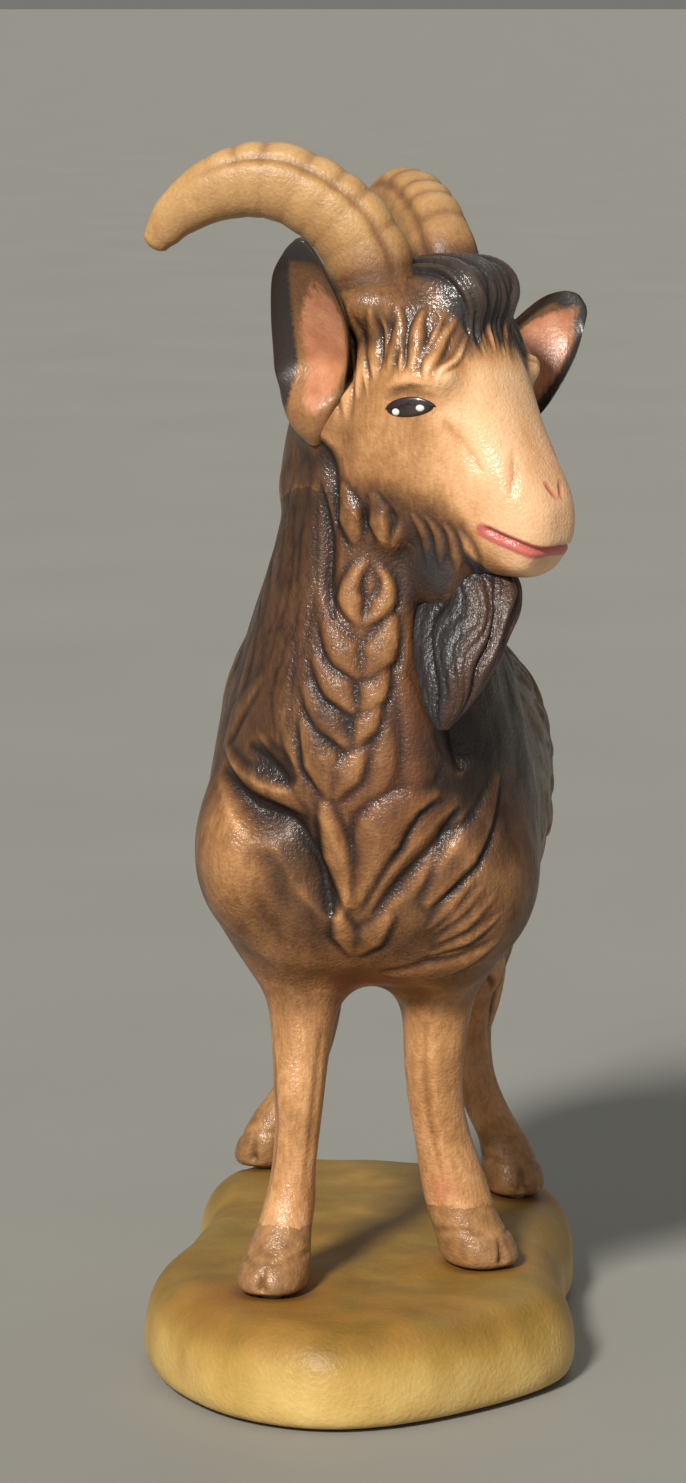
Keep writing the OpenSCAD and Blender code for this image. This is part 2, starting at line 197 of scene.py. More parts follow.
def ball(centre, radii, k, along=None, cut=False):
    """Melts an ellipsoid into the body or cuts it out. Its axes are the head's when along is 'head'."""
    global body
    reach = max(radii) + 4
    part = []
    for a in range(3):
        lo = int((centre[a] - reach) / STEP) - field.first[a]
        hi = int((centre[a] + reach) / STEP) - field.first[a]
        part.append(slice(max(lo, 0), min(hi, field.shape[a])))
    px, py, pz = X[part[0]] - centre[0], Y[:, part[1]] - centre[1], Z[:, :, part[2]] - centre[2]
    if along == "head":
        f, s = px * FORWARD[0] + py * FORWARD[1], px * LEFT[0] + py * LEFT[1]
    else:
        f, s = px, py
    q = (f / radii[0]) ** 2 + (s / radii[1]) ** 2 + (pz / radii[2]) ** 2
    q2 = (f / radii[0] ** 2) ** 2 + (s / radii[1] ** 2) ** 2 + (pz / radii[2] ** 2) ** 2
    k0 = np.sqrt(q)
    d = k0 * (k0 - 1) / np.maximum(np.sqrt(q2), 1e-6)
    part = tuple(part)
    body[part] = -smooth_min(-body[part], d, k) if cut else smooth_min(body[part], d, k)


# The way that each hoof's toe points, from straight ahead towards the goat's left
TOES = {n: np.array([math.sin(a), -math.cos(a), 0]) for n, a in zip(LEGS, np.radians((-12, 38, -14, 16)))}

# Crest between the horns, flesh round the roots of horns and ears, the brow and the curls along the jaw
for s in (-1, 1):
    for (f, side, u), radii, k in (
            ((5.4, 1.6, 22.4), (2.6, 1.7, 2.2), 1.8), ((1.6, 1.4, 22.6), (3.0, 2.0, 1.6), 1.8),
            ((-0.7, 4.4, 21.2), (3.9, 3.7, 2.6), 1.2), ((-3.9, 6.2, 12.6), (2.7, 1.9, 3.0), 1.4),
            ((4.8, 5.7, 16.0), (2.6, 1.0, 0.9), 1.8), ((-1.0, 6.0, 4.6), (1.3, 1.0, 1.7), 1.0),
            ((1.3, 5.4, 4.0), (1.2, 1.0, 1.6), 1.0)):
        ball(head_point(f, s * side, u), radii, k, "head")
# Lower lip, the hollow under the chin and the beard's root
ball(head_point(10.9, 0, 1.8), (2.0, 2.5, 1.1), 1.0, "head")
ball(head_point(15.3, 0, 0.5), (2.8, 4.6, 2.3), 0.8, "head", cut=True)
ball(head_point(4.4, -2.6, 0.6), (2.6, 2.0, 3.0), 1.2, "head")
ball(head_point(5.6, -0.4, 2.6), (4.2, 3.4, 2.4), 1.6, "head")
# The shoulders stand out from the chest
ball(np.array([-9.6, -16.5, 44.0]), (4.2, 6.2, 6.4), 2.0)
ball(np.array([8.6, -15.5, 41.5]), (4.6, 6.0, 6.0), 2.0)


# ---- Meshes from fields ----

GRADE = 1.0


def extract(values, grid_field):
    grid = openvdb.FloatGrid(BAND)
    grid.copyFromArray(np.ascontiguousarray(values, dtype=np.float32), ijk=grid_field.corner())
    grid.transform = openvdb.createLinearTransform(voxelSize=grid_field.step)
    points, quads = grid.convertToQuads(isovalue=0.0)
    return points.astype(np.float64), quads.astype(np.int64)


def carved_piece(node, step):
    """The node's own part of the body: it ends where another node comes nearer."""
    low, high = box_mm(node)
    target = Field(low - 2.1, high + 2.1, step * GRADE)
    base = resampled(body, field, target)
    own = resampled(dist[node], field, target)
    rest = np.full(field.shape, BAND, np.float32)
    for other in body_nodes:
        if other != node:
            rest = np.minimum(rest, dist[other])
    other = resampled(rest, field, target)
    points, quads = extract(np.maximum(base, 0.5 * (own - other) - 0.45), target)
    return relaxed(points, quads, 2), quads


def averaged(values, quads):
    """Each vertex's mean over its neighbours."""
    n = len(values)
    i = np.concatenate([quads.ravel(), np.roll(quads, -1, axis=1).ravel()])
    j = np.concatenate([np.roll(quads, -1, axis=1).ravel(), quads.ravel()])
    count = np.maximum(np.bincount(i, minlength=n), 1)
    if values.ndim == 1:
        return np.bincount(i, values[j], n) / count
    return np.stack([np.bincount(i, values[j, c], n) for c in range(values.shape[1])], 1) / count[:, None]


def relaxed(points, quads, times, share=0.5):
    for _ in range(times):
        points = points + share * (averaged(points, quads) - points)
    return points


def trilinear(values, at):
    """The values read between samples, at places that are counted in samples."""
    at = np.clip(at, 0, np.array(values.shape) - 1.001)
    base = at.astype(int)
    t = at - base
    out = 0
    for corner in np.ndindex(2, 2, 2):
        share = np.where(corner, t, 1 - t).prod(1)
        out = out + share * values[tuple((base + corner).T)]
    return out


def depth(points):
    """The body's distance field at the points: below zero inside."""
    return trilinear(body, points / STEP - field.first)


def normals_at(points, reach=0.45):
    g = np.stack([depth(points + reach * e) - depth(points - reach * e) for e in (X_AXIS, Y_AXIS, UP)], 1)
    return g / np.maximum(np.linalg.norm(g, axis=1), 1e-9)[:, None]


def struck(starts, way, reach, step=0.12):
    """Where lines from the starts along way first meet the body, and whether they do."""
    starts, way = np.array(starts, float), np.array(way, float)
    t = np.arange(0, reach, step)
    line = starts[:, None, :] + way * t[None, :, None]
    d = depth(line.reshape(-1, 3)).reshape(len(starts), -1)
    inside = d < 0
    first = np.maximum(inside.argmax(1), 1)
    rows = np.arange(len(starts))
    before, after = d[rows, first - 1], d[rows, first]
    share = before / np.maximum(before - after, 1e-6)
    return starts + way * ((first - 1 + share) * step)[:, None], inside.any(1)


def drawn(points, count):
    """A smooth line of count points through the given ones."""
    p = np.array(points, float)
    if len(p) == 2:
        return p[0] + (p[1] - p[0]) * np.linspace(0, 1, count)[:, None]
    padded = np.vstack([2 * p[0] - p[1], p, 2 * p[-1] - p[-2]])
    at = np.linspace(0, len(p) - 1, count)
    i = np.minimum(at.astype(int), len(p) - 2)
    t = (at - i)[:, None]
    a, b, c, d = padded[i], padded[i + 1], padded[i + 2], padded[i + 3]
    return 0.5 * (2 * b + (c - a) * t + (2 * a - 5 * b + 4 * c - d) * t ** 2 + (3 * b - a - 3 * c + d) * t ** 3)


def laid(points):
    """Points drawn to the nearest place on the body's surface."""
    p = np.array(points, float)
    for _ in range(5):
        p = p - normals_at(p, 0.6) * depth(p)[:, None]
    return p


def leg_point(n, z):
    """The middle of a leg's CAD solid at a height."""
    k = int(round(z / STEP)) - field.first[2]
    i, j = (dist[n][:, :, k] < 0).nonzero()
    return np.array([(i.mean() + field.first[0]) * STEP, (j.mean() + field.first[1]) * STEP, z])


FOOT = {n: leg_point(n, plinth_high[2] + 0.6)[:2] for n in LEGS}

# ---- Carving strokes: ridges and gouges along lines on the surface ----

strokes = []


def stroke(points, width, height, ends=(0.35, 0.35), count=None):
    """A ridge, or a gouge if height is negative, of half width `width`. It tapers over the shares `ends`."""
    strokes.append((drawn(points, count or len(points)), width, height, ends))


def front(points, width, height, ends=(0.35, 0.35)):
    """A stroke along (x, z) points, laid on the body's front."""
    starts = drawn([(x, 0, z) for x, z in points], 3 * len(points) + 1) + Y_AXIS * field.first[1] * STEP
    hits, found = struck(starts, Y_AXIS, 50)
    if found.sum() > 2:
        stroke(hits[found], width, height, ends)


def nearest(p, line):
    """How far the points are from the line, where along it as a share, and how much above it (1) or below (-1)."""
    best, where, above = np.full(len(p), 1e9), np.zeros(len(p)), np.zeros(len(p))
    for i, (a, b) in enumerate(zip(line[:-1], line[1:])):
        d = b - a
        t = np.clip((p - a) @ d / max(d @ d, 1e-9), 0, 1)
        gap = p - a - t[:, None] * d
        away = np.linalg.norm(gap, axis=1)
        closer = away < best
        best = np.where(closer, away, best)
        where = np.where(closer, (i + t) / (len(line) - 1), where)
        above = np.where(closer, gap[:, 2] / (away + 0.15), above)
    return best, where, above


def carved(points, normals, skin):
    """Moves points along their normals as the strokes say. Returns the points and how far each went."""
    up, down, outline = np.zeros(len(points)), np.zeros(len(points)), np.zeros(len(points))
    low, high = points.min(0), points.max(0)
    order = np.argsort(points[:, 2])
    sorted_z = points[order, 2]
    for line, width, height, ends in strokes:
        lo, hi = line.min(0) - 1.9 * width, line.max(0) + 1.9 * width
        if (lo > high).any() or (hi < low).any():
            continue
        near = order[np.searchsorted(sorted_z, lo[2]):np.searchsorted(sorted_z, hi[2])]
        p = points[near]
        keep = (p[:, 0] > lo[0]) & (p[:, 0] < hi[0]) & (p[:, 1] > lo[1]) & (p[:, 1] < hi[1])
        near, p = near[keep], p[keep]
        if not len(near):
            continue
        best, where, above = nearest(p, line)
        taper = np.clip(np.minimum(where / ends[0], (1 - where) / ends[1]), 0, 1)
        half = width * (0.32 + 0.68 * taper)
        taper = np.sqrt(taper)
        if height > 0:
            # A lock lies like a shingle: it rises gently on its upper side and ends steeply below
            half = half * (1 + 0.42 * above)
            x = best / half
            up[near] = np.maximum(up[near], height * taper * np.clip(1 - x ** 2, 0, 1) * (0.86 - 0.30 * above * x))
            edge = np.exp(-((best - 1.05 * half) / (0.14 + 0.10 * width)) ** 2)
            outline[near] = np.minimum(outline[near], -(0.34 - 0.18 * above) * height * taper * edge)
        else:
            down[near] = np.minimum(down[near], height * taper * np.clip(1 - best / half, 0, 1) ** 1.3)
    move = (up + down + outline * (1 - soft(up, 0.05, 0.25))) * skin
    return points + normals * move[:, None], move


# Locks on the chest and throat, as (x, z) lines that are laid on the front
LOCKS = [
    ([(-1.8, 74.5), (-1.2, 72.2), (-0.5, 69.5)], 1.1, 0.7), ([(0.8, 73.9), (1.4, 71.9), (1.7, 69.5)], 1.0, 0.6),
    ([(0.5, 68.3), (-0.4, 67.3), (-0.9, 65.8), (-0.8, 64.4), (-0.1, 63.2)], 0.95, 0.8),
    ([(1.1, 68.0), (1.9, 66.8), (2.0, 65.3), (1.3, 64.1), (0.1, 63.2)], 0.85, 0.7),
    ([(-3.1, 63.8), (-1.9, 61.3), (0.2, 58.9)], 1.25, 0.75), ([(2.5, 64.4), (1.8, 61.4), (0.3, 58.9)], 1.3, 0.85),
    ([(-3.9, 61.0), (-2.4, 58.5), (-0.2, 56.2)], 1.2, 0.65), ([(2.1, 60.4), (1.3, 58.2), (-0.1, 56.2)], 1.1, 0.75),
    ([(-4.7, 58.7), (-3.2, 55.9), (-0.7, 53.5)], 1.1, 0.55), ([(1.7, 58.0), (0.8, 55.8), (-0.6, 53.5)], 0.95, 0.6),
    ([(-4.7, 55.9), (-3.6, 53.0), (-2.3, 49.4)], 1.4, 0.8), ([(0.5, 53.9), (-0.7, 51.8), (-2.2, 49.4)], 1.2, 0.65),
    ([(-3.0, 49.4), (-2.2, 45.3), (-1.0, 40.3)], 1.35, 0.95),
    ([(6.2, 50.0), (3.6, 48.6), (1.2, 45.6), (-0.8, 40.3)], 1.75, 1.1),
    ([(-2.1, 40.3), (-1.6, 38.3), (-0.9, 36.1)], 1.0, 0.6), ([(2.4, 40.0), (0.9, 38.0), (-0.8, 36.1)], 1.15, 0.65),
    ([(10.6, 51.0), (9.5, 47.0), (7.6, 44.0), (4.9, 40.4)], 1.4, 1.0),
    ([(8.8, 43.0), (7.2, 40.8), (5.0, 38.4)], 0.6, 0.34), ([(9.8, 42.4), (7.9, 40.2), (5.6, 38.2)], 0.5, 0.3),
    ([(10.6, 41.4), (8.3, 39.0), (5.6, 37.2)], 0.6, 0.36), ([(11.2, 39.9), (8.5, 37.7), (5.3, 36.3)], 0.6, 0.4),
    ([(10.8, 37.4), (7.6, 35.2), (4.5, 34.4), (1.2, 34.3)], 1.15, 0.8),
    ([(-11.6, 52.8), (-9.8, 50.6), (-6.8, 49.2), (-4.7, 48.0)], 1.1, 0.6),
    ([(-7.9, 59.0), (-10.4, 55.0), (-11.6, 52.2)], 1.2, 0.35), ([(-8.6, 54.6), (-7.2, 52.6), (-5.4, 50.6)], 0.6, 0.2),
    ([(-6.6, 56.0), (-5.8, 53.6), (-4.9, 51.4)], 0.6, 0.2),
    ([(2.9, 59.8), (4.2, 55.4), (4.7, 51.6), (3.4, 48.9)], 1.5, 0.4),
    ([(1.6, 56.6), (2.0, 53.0), (1.2, 49.6)], 1.1, 0.3)]
for line, width, height in LOCKS:
    front(line, 1.25 * width, 0.70 * height, (0.6, 0.42))
# The deep valley between mane and shoulder, and the hollows beside it
front([(-11.6, 50.9), (-8.8, 48.4), (-5.8, 47.2), (-4.2, 45.0), (-3.1, 42.2), (-2.4, 39.6)], 2.5, -1.5, (0.25, 0.25))
front([(-9.2, 53.2), (-7.2, 51.8), (-5.2, 50.6)], 2.2, -0.7)
front([(7.8, 48.6), (6.2, 46.0), (3.6, 43.2), (0.7, 39.8)], 1.3, -0.8, (0.25, 0.25))
front([(6.8, 58.0), (7.6, 54.5), (7.8, 51.4)], 2.6, -1.3, (0.4, 0.4))
front([(-3.4, 74.6), (-2.6, 70.0), (-2.6, 66.0), (-2.2, 63.6)], 1.0, -0.6)
# Soft upright streaks on the neck's side
for line in ([(-5.2, 75), (-6, 71), (-6.3, 67.1), (-6.7, 63.2)], [(-3.7, 75.2), (-4.3, 70.5), (-4.5, 65.8), (-4.9, 61.1)],
             [(-7.3, 70.5), (-7.9, 66.5), (-8.4, 62.5)], [(-5.6, 62.0), (-6.4, 57.5), (-6.6, 54.0)],
             [(-8.6, 63.0), (-9.6, 59.0), (-10.6, 55.5)]):
    front(line, 0.9, 0.13)


def chance(n, seed):
    return np.random.default_rng(seed).random(n)


def flowing(way_at, starts, length, bend, seed, widths, heights, steps=6):
    """Locks that run over the surface from the starts, along the direction that way_at gives."""
    n = len(starts)
    a, b, c = chance(n, seed), chance(n, seed + 1), chance(n, seed + 2)
    lines = [np.array(starts, float)]
    for k in range(steps):
        p = lines[-1]
        normal = normals_at(p, 0.9)
        way = way_at(p)
        way = way - normal * (way * normal).sum(1)[:, None]
        way /= np.maximum(np.linalg.norm(way, axis=1), 1e-6)[:, None]
        side = np.cross(normal, way)
        turn = bend * np.sin(2 * math.pi * (c + k / steps))
        p = p + (way + side * turn[:, None]) * (length[0] + a * (length[1] - length[0]))[:, None] / steps
        lines.append(p - normal * depth(p)[:, None])
    lines = np.stack(lines, 1)
    for i in range(n):
        height = heights[0] + a[i] * (heights[1] - heights[0])
        middle = lines[i][steps // 2]
        height *= 1 - 0.7 * float(soft(-middle[1], 11, 15) * soft(middle[2], 48, 53))
        height *= 1 - 0.6 * float(soft(-middle[1], -8, 2) * soft(abs(middle[0]), 6, 9))
        strokes.append((lines[i], widths[0] + b[i] * (widths[1] - widths[0]), height, (0.4, 0.4)))


def ray_starts(rows, centre_at, rise):
    """Surface points hit by rays that go inward to a centre line: rows of (place, angle)."""
    points = []
    for place, angle in rows:
        way = -(X_AXIS * math.cos(angle) + rise * math.sin(angle))
        hit, found = struck([centre_at(place) - way * 30], way, 34)
        if found[0]:
            points.append(hit[0])
    return np.array(points)


BARREL_MID = torso_low[2] + 15.5


def barrel_at(y):
    return np.array([0, y, BARREL_MID])


def barrel_way(p):
    """Hair on the barrel runs back and down, and straight down on the haunches."""
    down = np.clip((p[:, 1] - 6) / 14, 0, 1)
    side = np.clip(np.abs(p[:, 0]) / 8, 0, 1)
    return np.stack([0.15 * np.sign(p[:, 0]), 1 - 0.75 * down, -(0.35 + 0.8 * down) * side], 1)


rows = []
for k, y in enumerate(np.arange(-6.0, 27.0, 3.1)):
    for j in range(13):
        angle = math.radians(-62 + j * (304 / 12) + (k % 2) * 12)
        rows.append((y + 1.1 * math.sin(7.3 * j + 2.1 * k), angle))
flowing(barrel_way, ray_starts(rows, barrel_at, UP), (5.5, 8.5), 0.35, 11, (1.0, 1.5), (0.28, 0.5))


def neck_at(z):
    t = np.clip((z - 55) / 18, 0, 1)
    return np.array([NECK[0] * t, -13 + (NECK[1] + 13) * t, z])


def neck_way(p):
    return np.stack([0.1 * np.sign(p[:, 0]), np.where(p[:, 1] > -16, 0.45, 0.0), -np.ones(len(p))], 1)


rows = []
for k, z in enumerate(np.arange(60.0, 76.0, 3.0)):
    for j in range(11):
        rows.append((z + 0.9 * math.sin(5.1 * j + k), math.radians(-24 + j * 22.8 + (k % 2) * 11)))
flowing(neck_way, ray_starts(rows, neck_at, Y_AXIS), (5.0, 8.0), 0.3, 21, (0.9, 1.4), (0.25, 0.5))

# ---- Strokes on the head, in its own frame ----


def on_head(points, width, height, ends=(0.35, 0.35)):
    """A stroke along (f, u) points, laid on each side of the head."""
    for s in (-1, 1):
        starts = [head_point(f, s * BESIDE_HEAD, u) for f, u in points]
        hits, found = struck(drawn(starts, 3 * len(points)), LEFT * -s, 16)
        if found.sum() > 2:
            stroke(hits[found], width, height, ends)


# Tufts from the horns' roots down the forehead and the temple, with finer hairs between them
for k, (f, top, low, width, height) in enumerate((
        (-4.0, 19.8, 14.6, 0.85, 0.30), (-2.4, 20.8, 12.4, 0.95, 0.34), (-0.6, 21.2, 14.0, 0.80, 0.30),
        (1.1, 21.2, 15.6, 0.85, 0.34), (2.9, 21.4, 16.4, 0.75, 0.32), (4.7, 21.2, 16.4, 0.80, 0.34),
        (6.4, 20.6, 15.6, 0.70, 0.30), (-3.3, 19.4, 13.2, 0.34, 0.26), (-1.5, 20.4, 15.0, 0.36, 0.30),
        (0.3, 20.2, 14.2, 0.32, 0.26), (2.0, 20.9, 17.2, 0.34, 0.28), (3.8, 20.2, 15.8, 0.32, 0.26),
        (5.6, 20.8, 16.8, 0.34, 0.30), (7.2, 19.6, 15.2, 0.34, 0.24))):
    us = np.linspace(top, low, 7)
    on_head([(f + 0.09 * (top - u) * (4 - f) / 4 + 0.20 * math.sin(0.9 * u + 2.3 * k), u) for u in us],
            width, height, (0.45, 0.35))
# Strands of the crest, from between the horns forward and down the brow
for k, s in enumerate(np.linspace(-3.4, 3.4, 9)):
    wave = 0.25 * math.sin(2.3 * k)
    end = (8.3 + 0.3 * (k % 3), 18.4 - 0.7 * (k % 2), 0.8)
    line = [head_point(f, (s + wave) * q, u) for f, u, q in (
        (-1.6, 24.4, 0.8), (1.6, 24.6, 1), (4.6, 24.8, 1.08), (7.0, 23.2, 1.1), (8.2, 20.8, 0.95), end)]
    stroke(laid(drawn(line, 16)), 0.48, 0.5, (0.3, 0.3))
# Brow and socket, the hollow before the eye, the cheek's crease and the line behind the jaw
on_head([(2.6, 15.1), (4.6, 15.8), (6.4, 15.5)], 0.8, 0.16)
on_head([(2.4, 14.2), (4.4, 14.9), (6.6, 14.4)], 0.9, -0.14)
on_head([(6.8, 12.8), (8.6, 10.6), (9.8, 8.6)], 1.5, -0.22)
on_head([(11.3, 10.4), (11.9, 8.4), (12.0, 6.6)], 0.9, -0.22)
on_head([(-5.2, 11.6), (-3.4, 9.6), (-2.6, 7.2), (-2.4, 3.6)], 1.5, -0.6)
for f in (-1.2, 1.0):
    on_head([(f + 1.2, 5.6), (f + 1.3, 4.6), (f + 1.2, 3.2)], 0.6, -0.32)
# Hair of the jaw, which runs on into the beard
for k, (f, u) in enumerate(((4.4, 4.2), (5.6, 3.9), (6.8, 3.5), (7.9, 3.0))):
    on_head([(f - 0.5, u + 1.2), (f, u), (f + 0.2, u - 1.4), (f + 0.1, u - 3.0)], 0.6, 0.2 + 0.05 * (k % 2), (0.5, 0.3))
half = [(9.6, 4.2, 4.3), (10.8, 3.9, 3.8), (12.2, 3.4, 3.3), (13.5, 1.9, 2.6)]
MOUTH = [*((f, -s, u) for f, s, u in half), (14.0, 0, 2.3), *half[::-1]]
MOUTH = laid(drawn([head_point(*place) for place in MOUTH], 33))
stroke(MOUTH, 0.42, -0.5, (0.06, 0.06))
NOSTRILS = [laid([head_point(f, s * out, u) for f, out, u in ((13.3, 0.95, 7.8), (13.7, 0.6, 7.2), (13.9, 0.3, 6.7))])
            for s in (-1, 1)]
for line in NOSTRILS:
    stroke(line, 0.30, -0.22, (0.25, 0.25), 7)

# ---- Strokes on each leg: the cleft between two toes, the hoof's upper edge, dewclaws and sinews ----

DEWCLAWS = []
for n, toe in TOES.items():
    foot = np.array([*FOOT[n], 0])
    side = np.array([-toe[1], toe[0], 0])
    line = [foot + UP * z + toe * (4.4 - 0.35 * (z - 8)) for z in (8.1, 9.2, 10.2, 11.2)]
    stroke(laid(line), 0.7, -0.65, (0.1, 0.8), 9)
    for q in (-1, 1):
        line = [foot + toe * (3.4 * math.cos(a)) + side * (q * 3.0 * math.sin(a)) + UP * (11.2 + 0.35 * math.cos(a))
                for a in (0.2, 0.7, 1.2, 1.7, 2.2)]
        stroke(laid(line), 0.4, -0.22, (0.2, 0.2), 9)
        line = laid([leg_point(n, z) - toe * 2.6 + side * (q * 0.9) for z in (13.2, 12.4, 11.7)])
        stroke(line, 0.7, 0.5, (0.6, 0.4), 5)
        DEWCLAWS.append(line)
        for a, width, height in ((0.9, 0.7, -0.15), (2.2, 0.6, -0.132)):
            out = (toe * math.cos(a) + side * q * math.sin(a)) * 2.6
            line = [leg_point(n, z) + out for z in np.linspace(15.5, 30.0, 7)]
            stroke(laid(line), width, height, (0.4, 0.4), 13)

# ---- Meshes and their marks ----


def show(name, points, quads, marks, material, node):
    """Makes the piece's mesh, with one number a vertex for each mark."""
    mesh = bpy.data.meshes.new(name)
    quads = np.asarray(quads)
    mesh.vertices.add(len(points))
    mesh.vertices.foreach_set("co", (np.asarray(points) * MM).astype(np.float32).ravel())
    mesh.loops.add(quads.size)
    mesh.loops.foreach_set("vertex_index", quads.astype(np.int32).ravel())
    mesh.polygons.add(len(quads))
    mesh.polygons.foreach_set("loop_start", np.arange(0, quads.size, quads.shape[1], dtype=np.int32))
    mesh.update(calc_edges=True)
    mesh.validate()
    mesh.shade_smooth()
    for key, values in marks.items():
        mesh.attributes.new(key, "FLOAT", "POINT").data.foreach_set("value", np.asarray(values, np.float32))
    mesh.materials.append(material)
    piece = bpy.data.objects.new(name, mesh)
    bpy.context.scene.collection.objects.link(piece)
    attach(piece, "root")
    if node:
        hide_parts(node)
    return piece


# ---- Paint: one number a vertex for each mark, worked out from the place ----


def blob(place, centre, radii):
    """1 at the centre, and softly less outwards along the three axes that the places are given in."""
    return np.exp(-sum(((a - c) / r) ** 2 for a, c, r in zip(place, centre, radii)))


wide = blurred(body[::2, ::2, ::2], 2.4 / (2 * STEP))


def form_at(points):
    """Above zero on rounded outer forms and below zero in hollows."""
    return trilinear(wide, points / (2 * STEP) - field.first / 2)


def beside(p, line, reach):
    """1 close to the line, and 0 further than reach away from it."""
    return 1 - soft(nearest(p, line)[0], 0.45 * reach, reach)


# Tints of the coat, each as (strength, centre, radii)
LIGHT = [(0.06, (7, -22, 43), (5, 8, 6)), (0.08, (5.5, -24, 46.5), (2.4, 8, 3)), (0.10, (0, -26, 62), (3, 6, 8)),
         (0.12, (-1, -26, 42), (4, 6, 8))]
RED = [(0.7, (4.2, -24, 55), (2.2, 8, 6)), (0.4, (1.5, -24, 47.5), (4.5, 8, 4)), (0.4, (0, -20, 35), (5, 8, 2.5)),
       (0.35, (-1, -24, 62), (3, 8, 7))]
# DARK holds painted shadow and painted shade besides darker places: the beard's shadow on the chest, the head's shadow
# on the neck, shade on the goat's left flank, and darker places in the valley beside the mane and low on the chest
DARK = [(0.95, (-7.8, -22, 51.6), (3, 7, 2.2)), (0.9, (-4.6, -24, 45.4), (2, 7, 3.6)),
        (0.75, (-3.4, -24, 40.5), (1.6, 7, 3)), (0.55, (-1.8, -25, 55.4), (2.2, 7, 2.4)),
        (1.3, (7.4, -19, 53.5), (3.4, 14, 6)), (0.65, (10.6, -12, 55), (3, 12, 8)), (0.6, (4.5, -24, 63), (2, 8, 5)),
        (0.5, (3, -22, 36), (3, 6, 1.8))]


def tints(table, place):
    return [strength * blob(place, centre, radii) for strength, centre, radii in table]


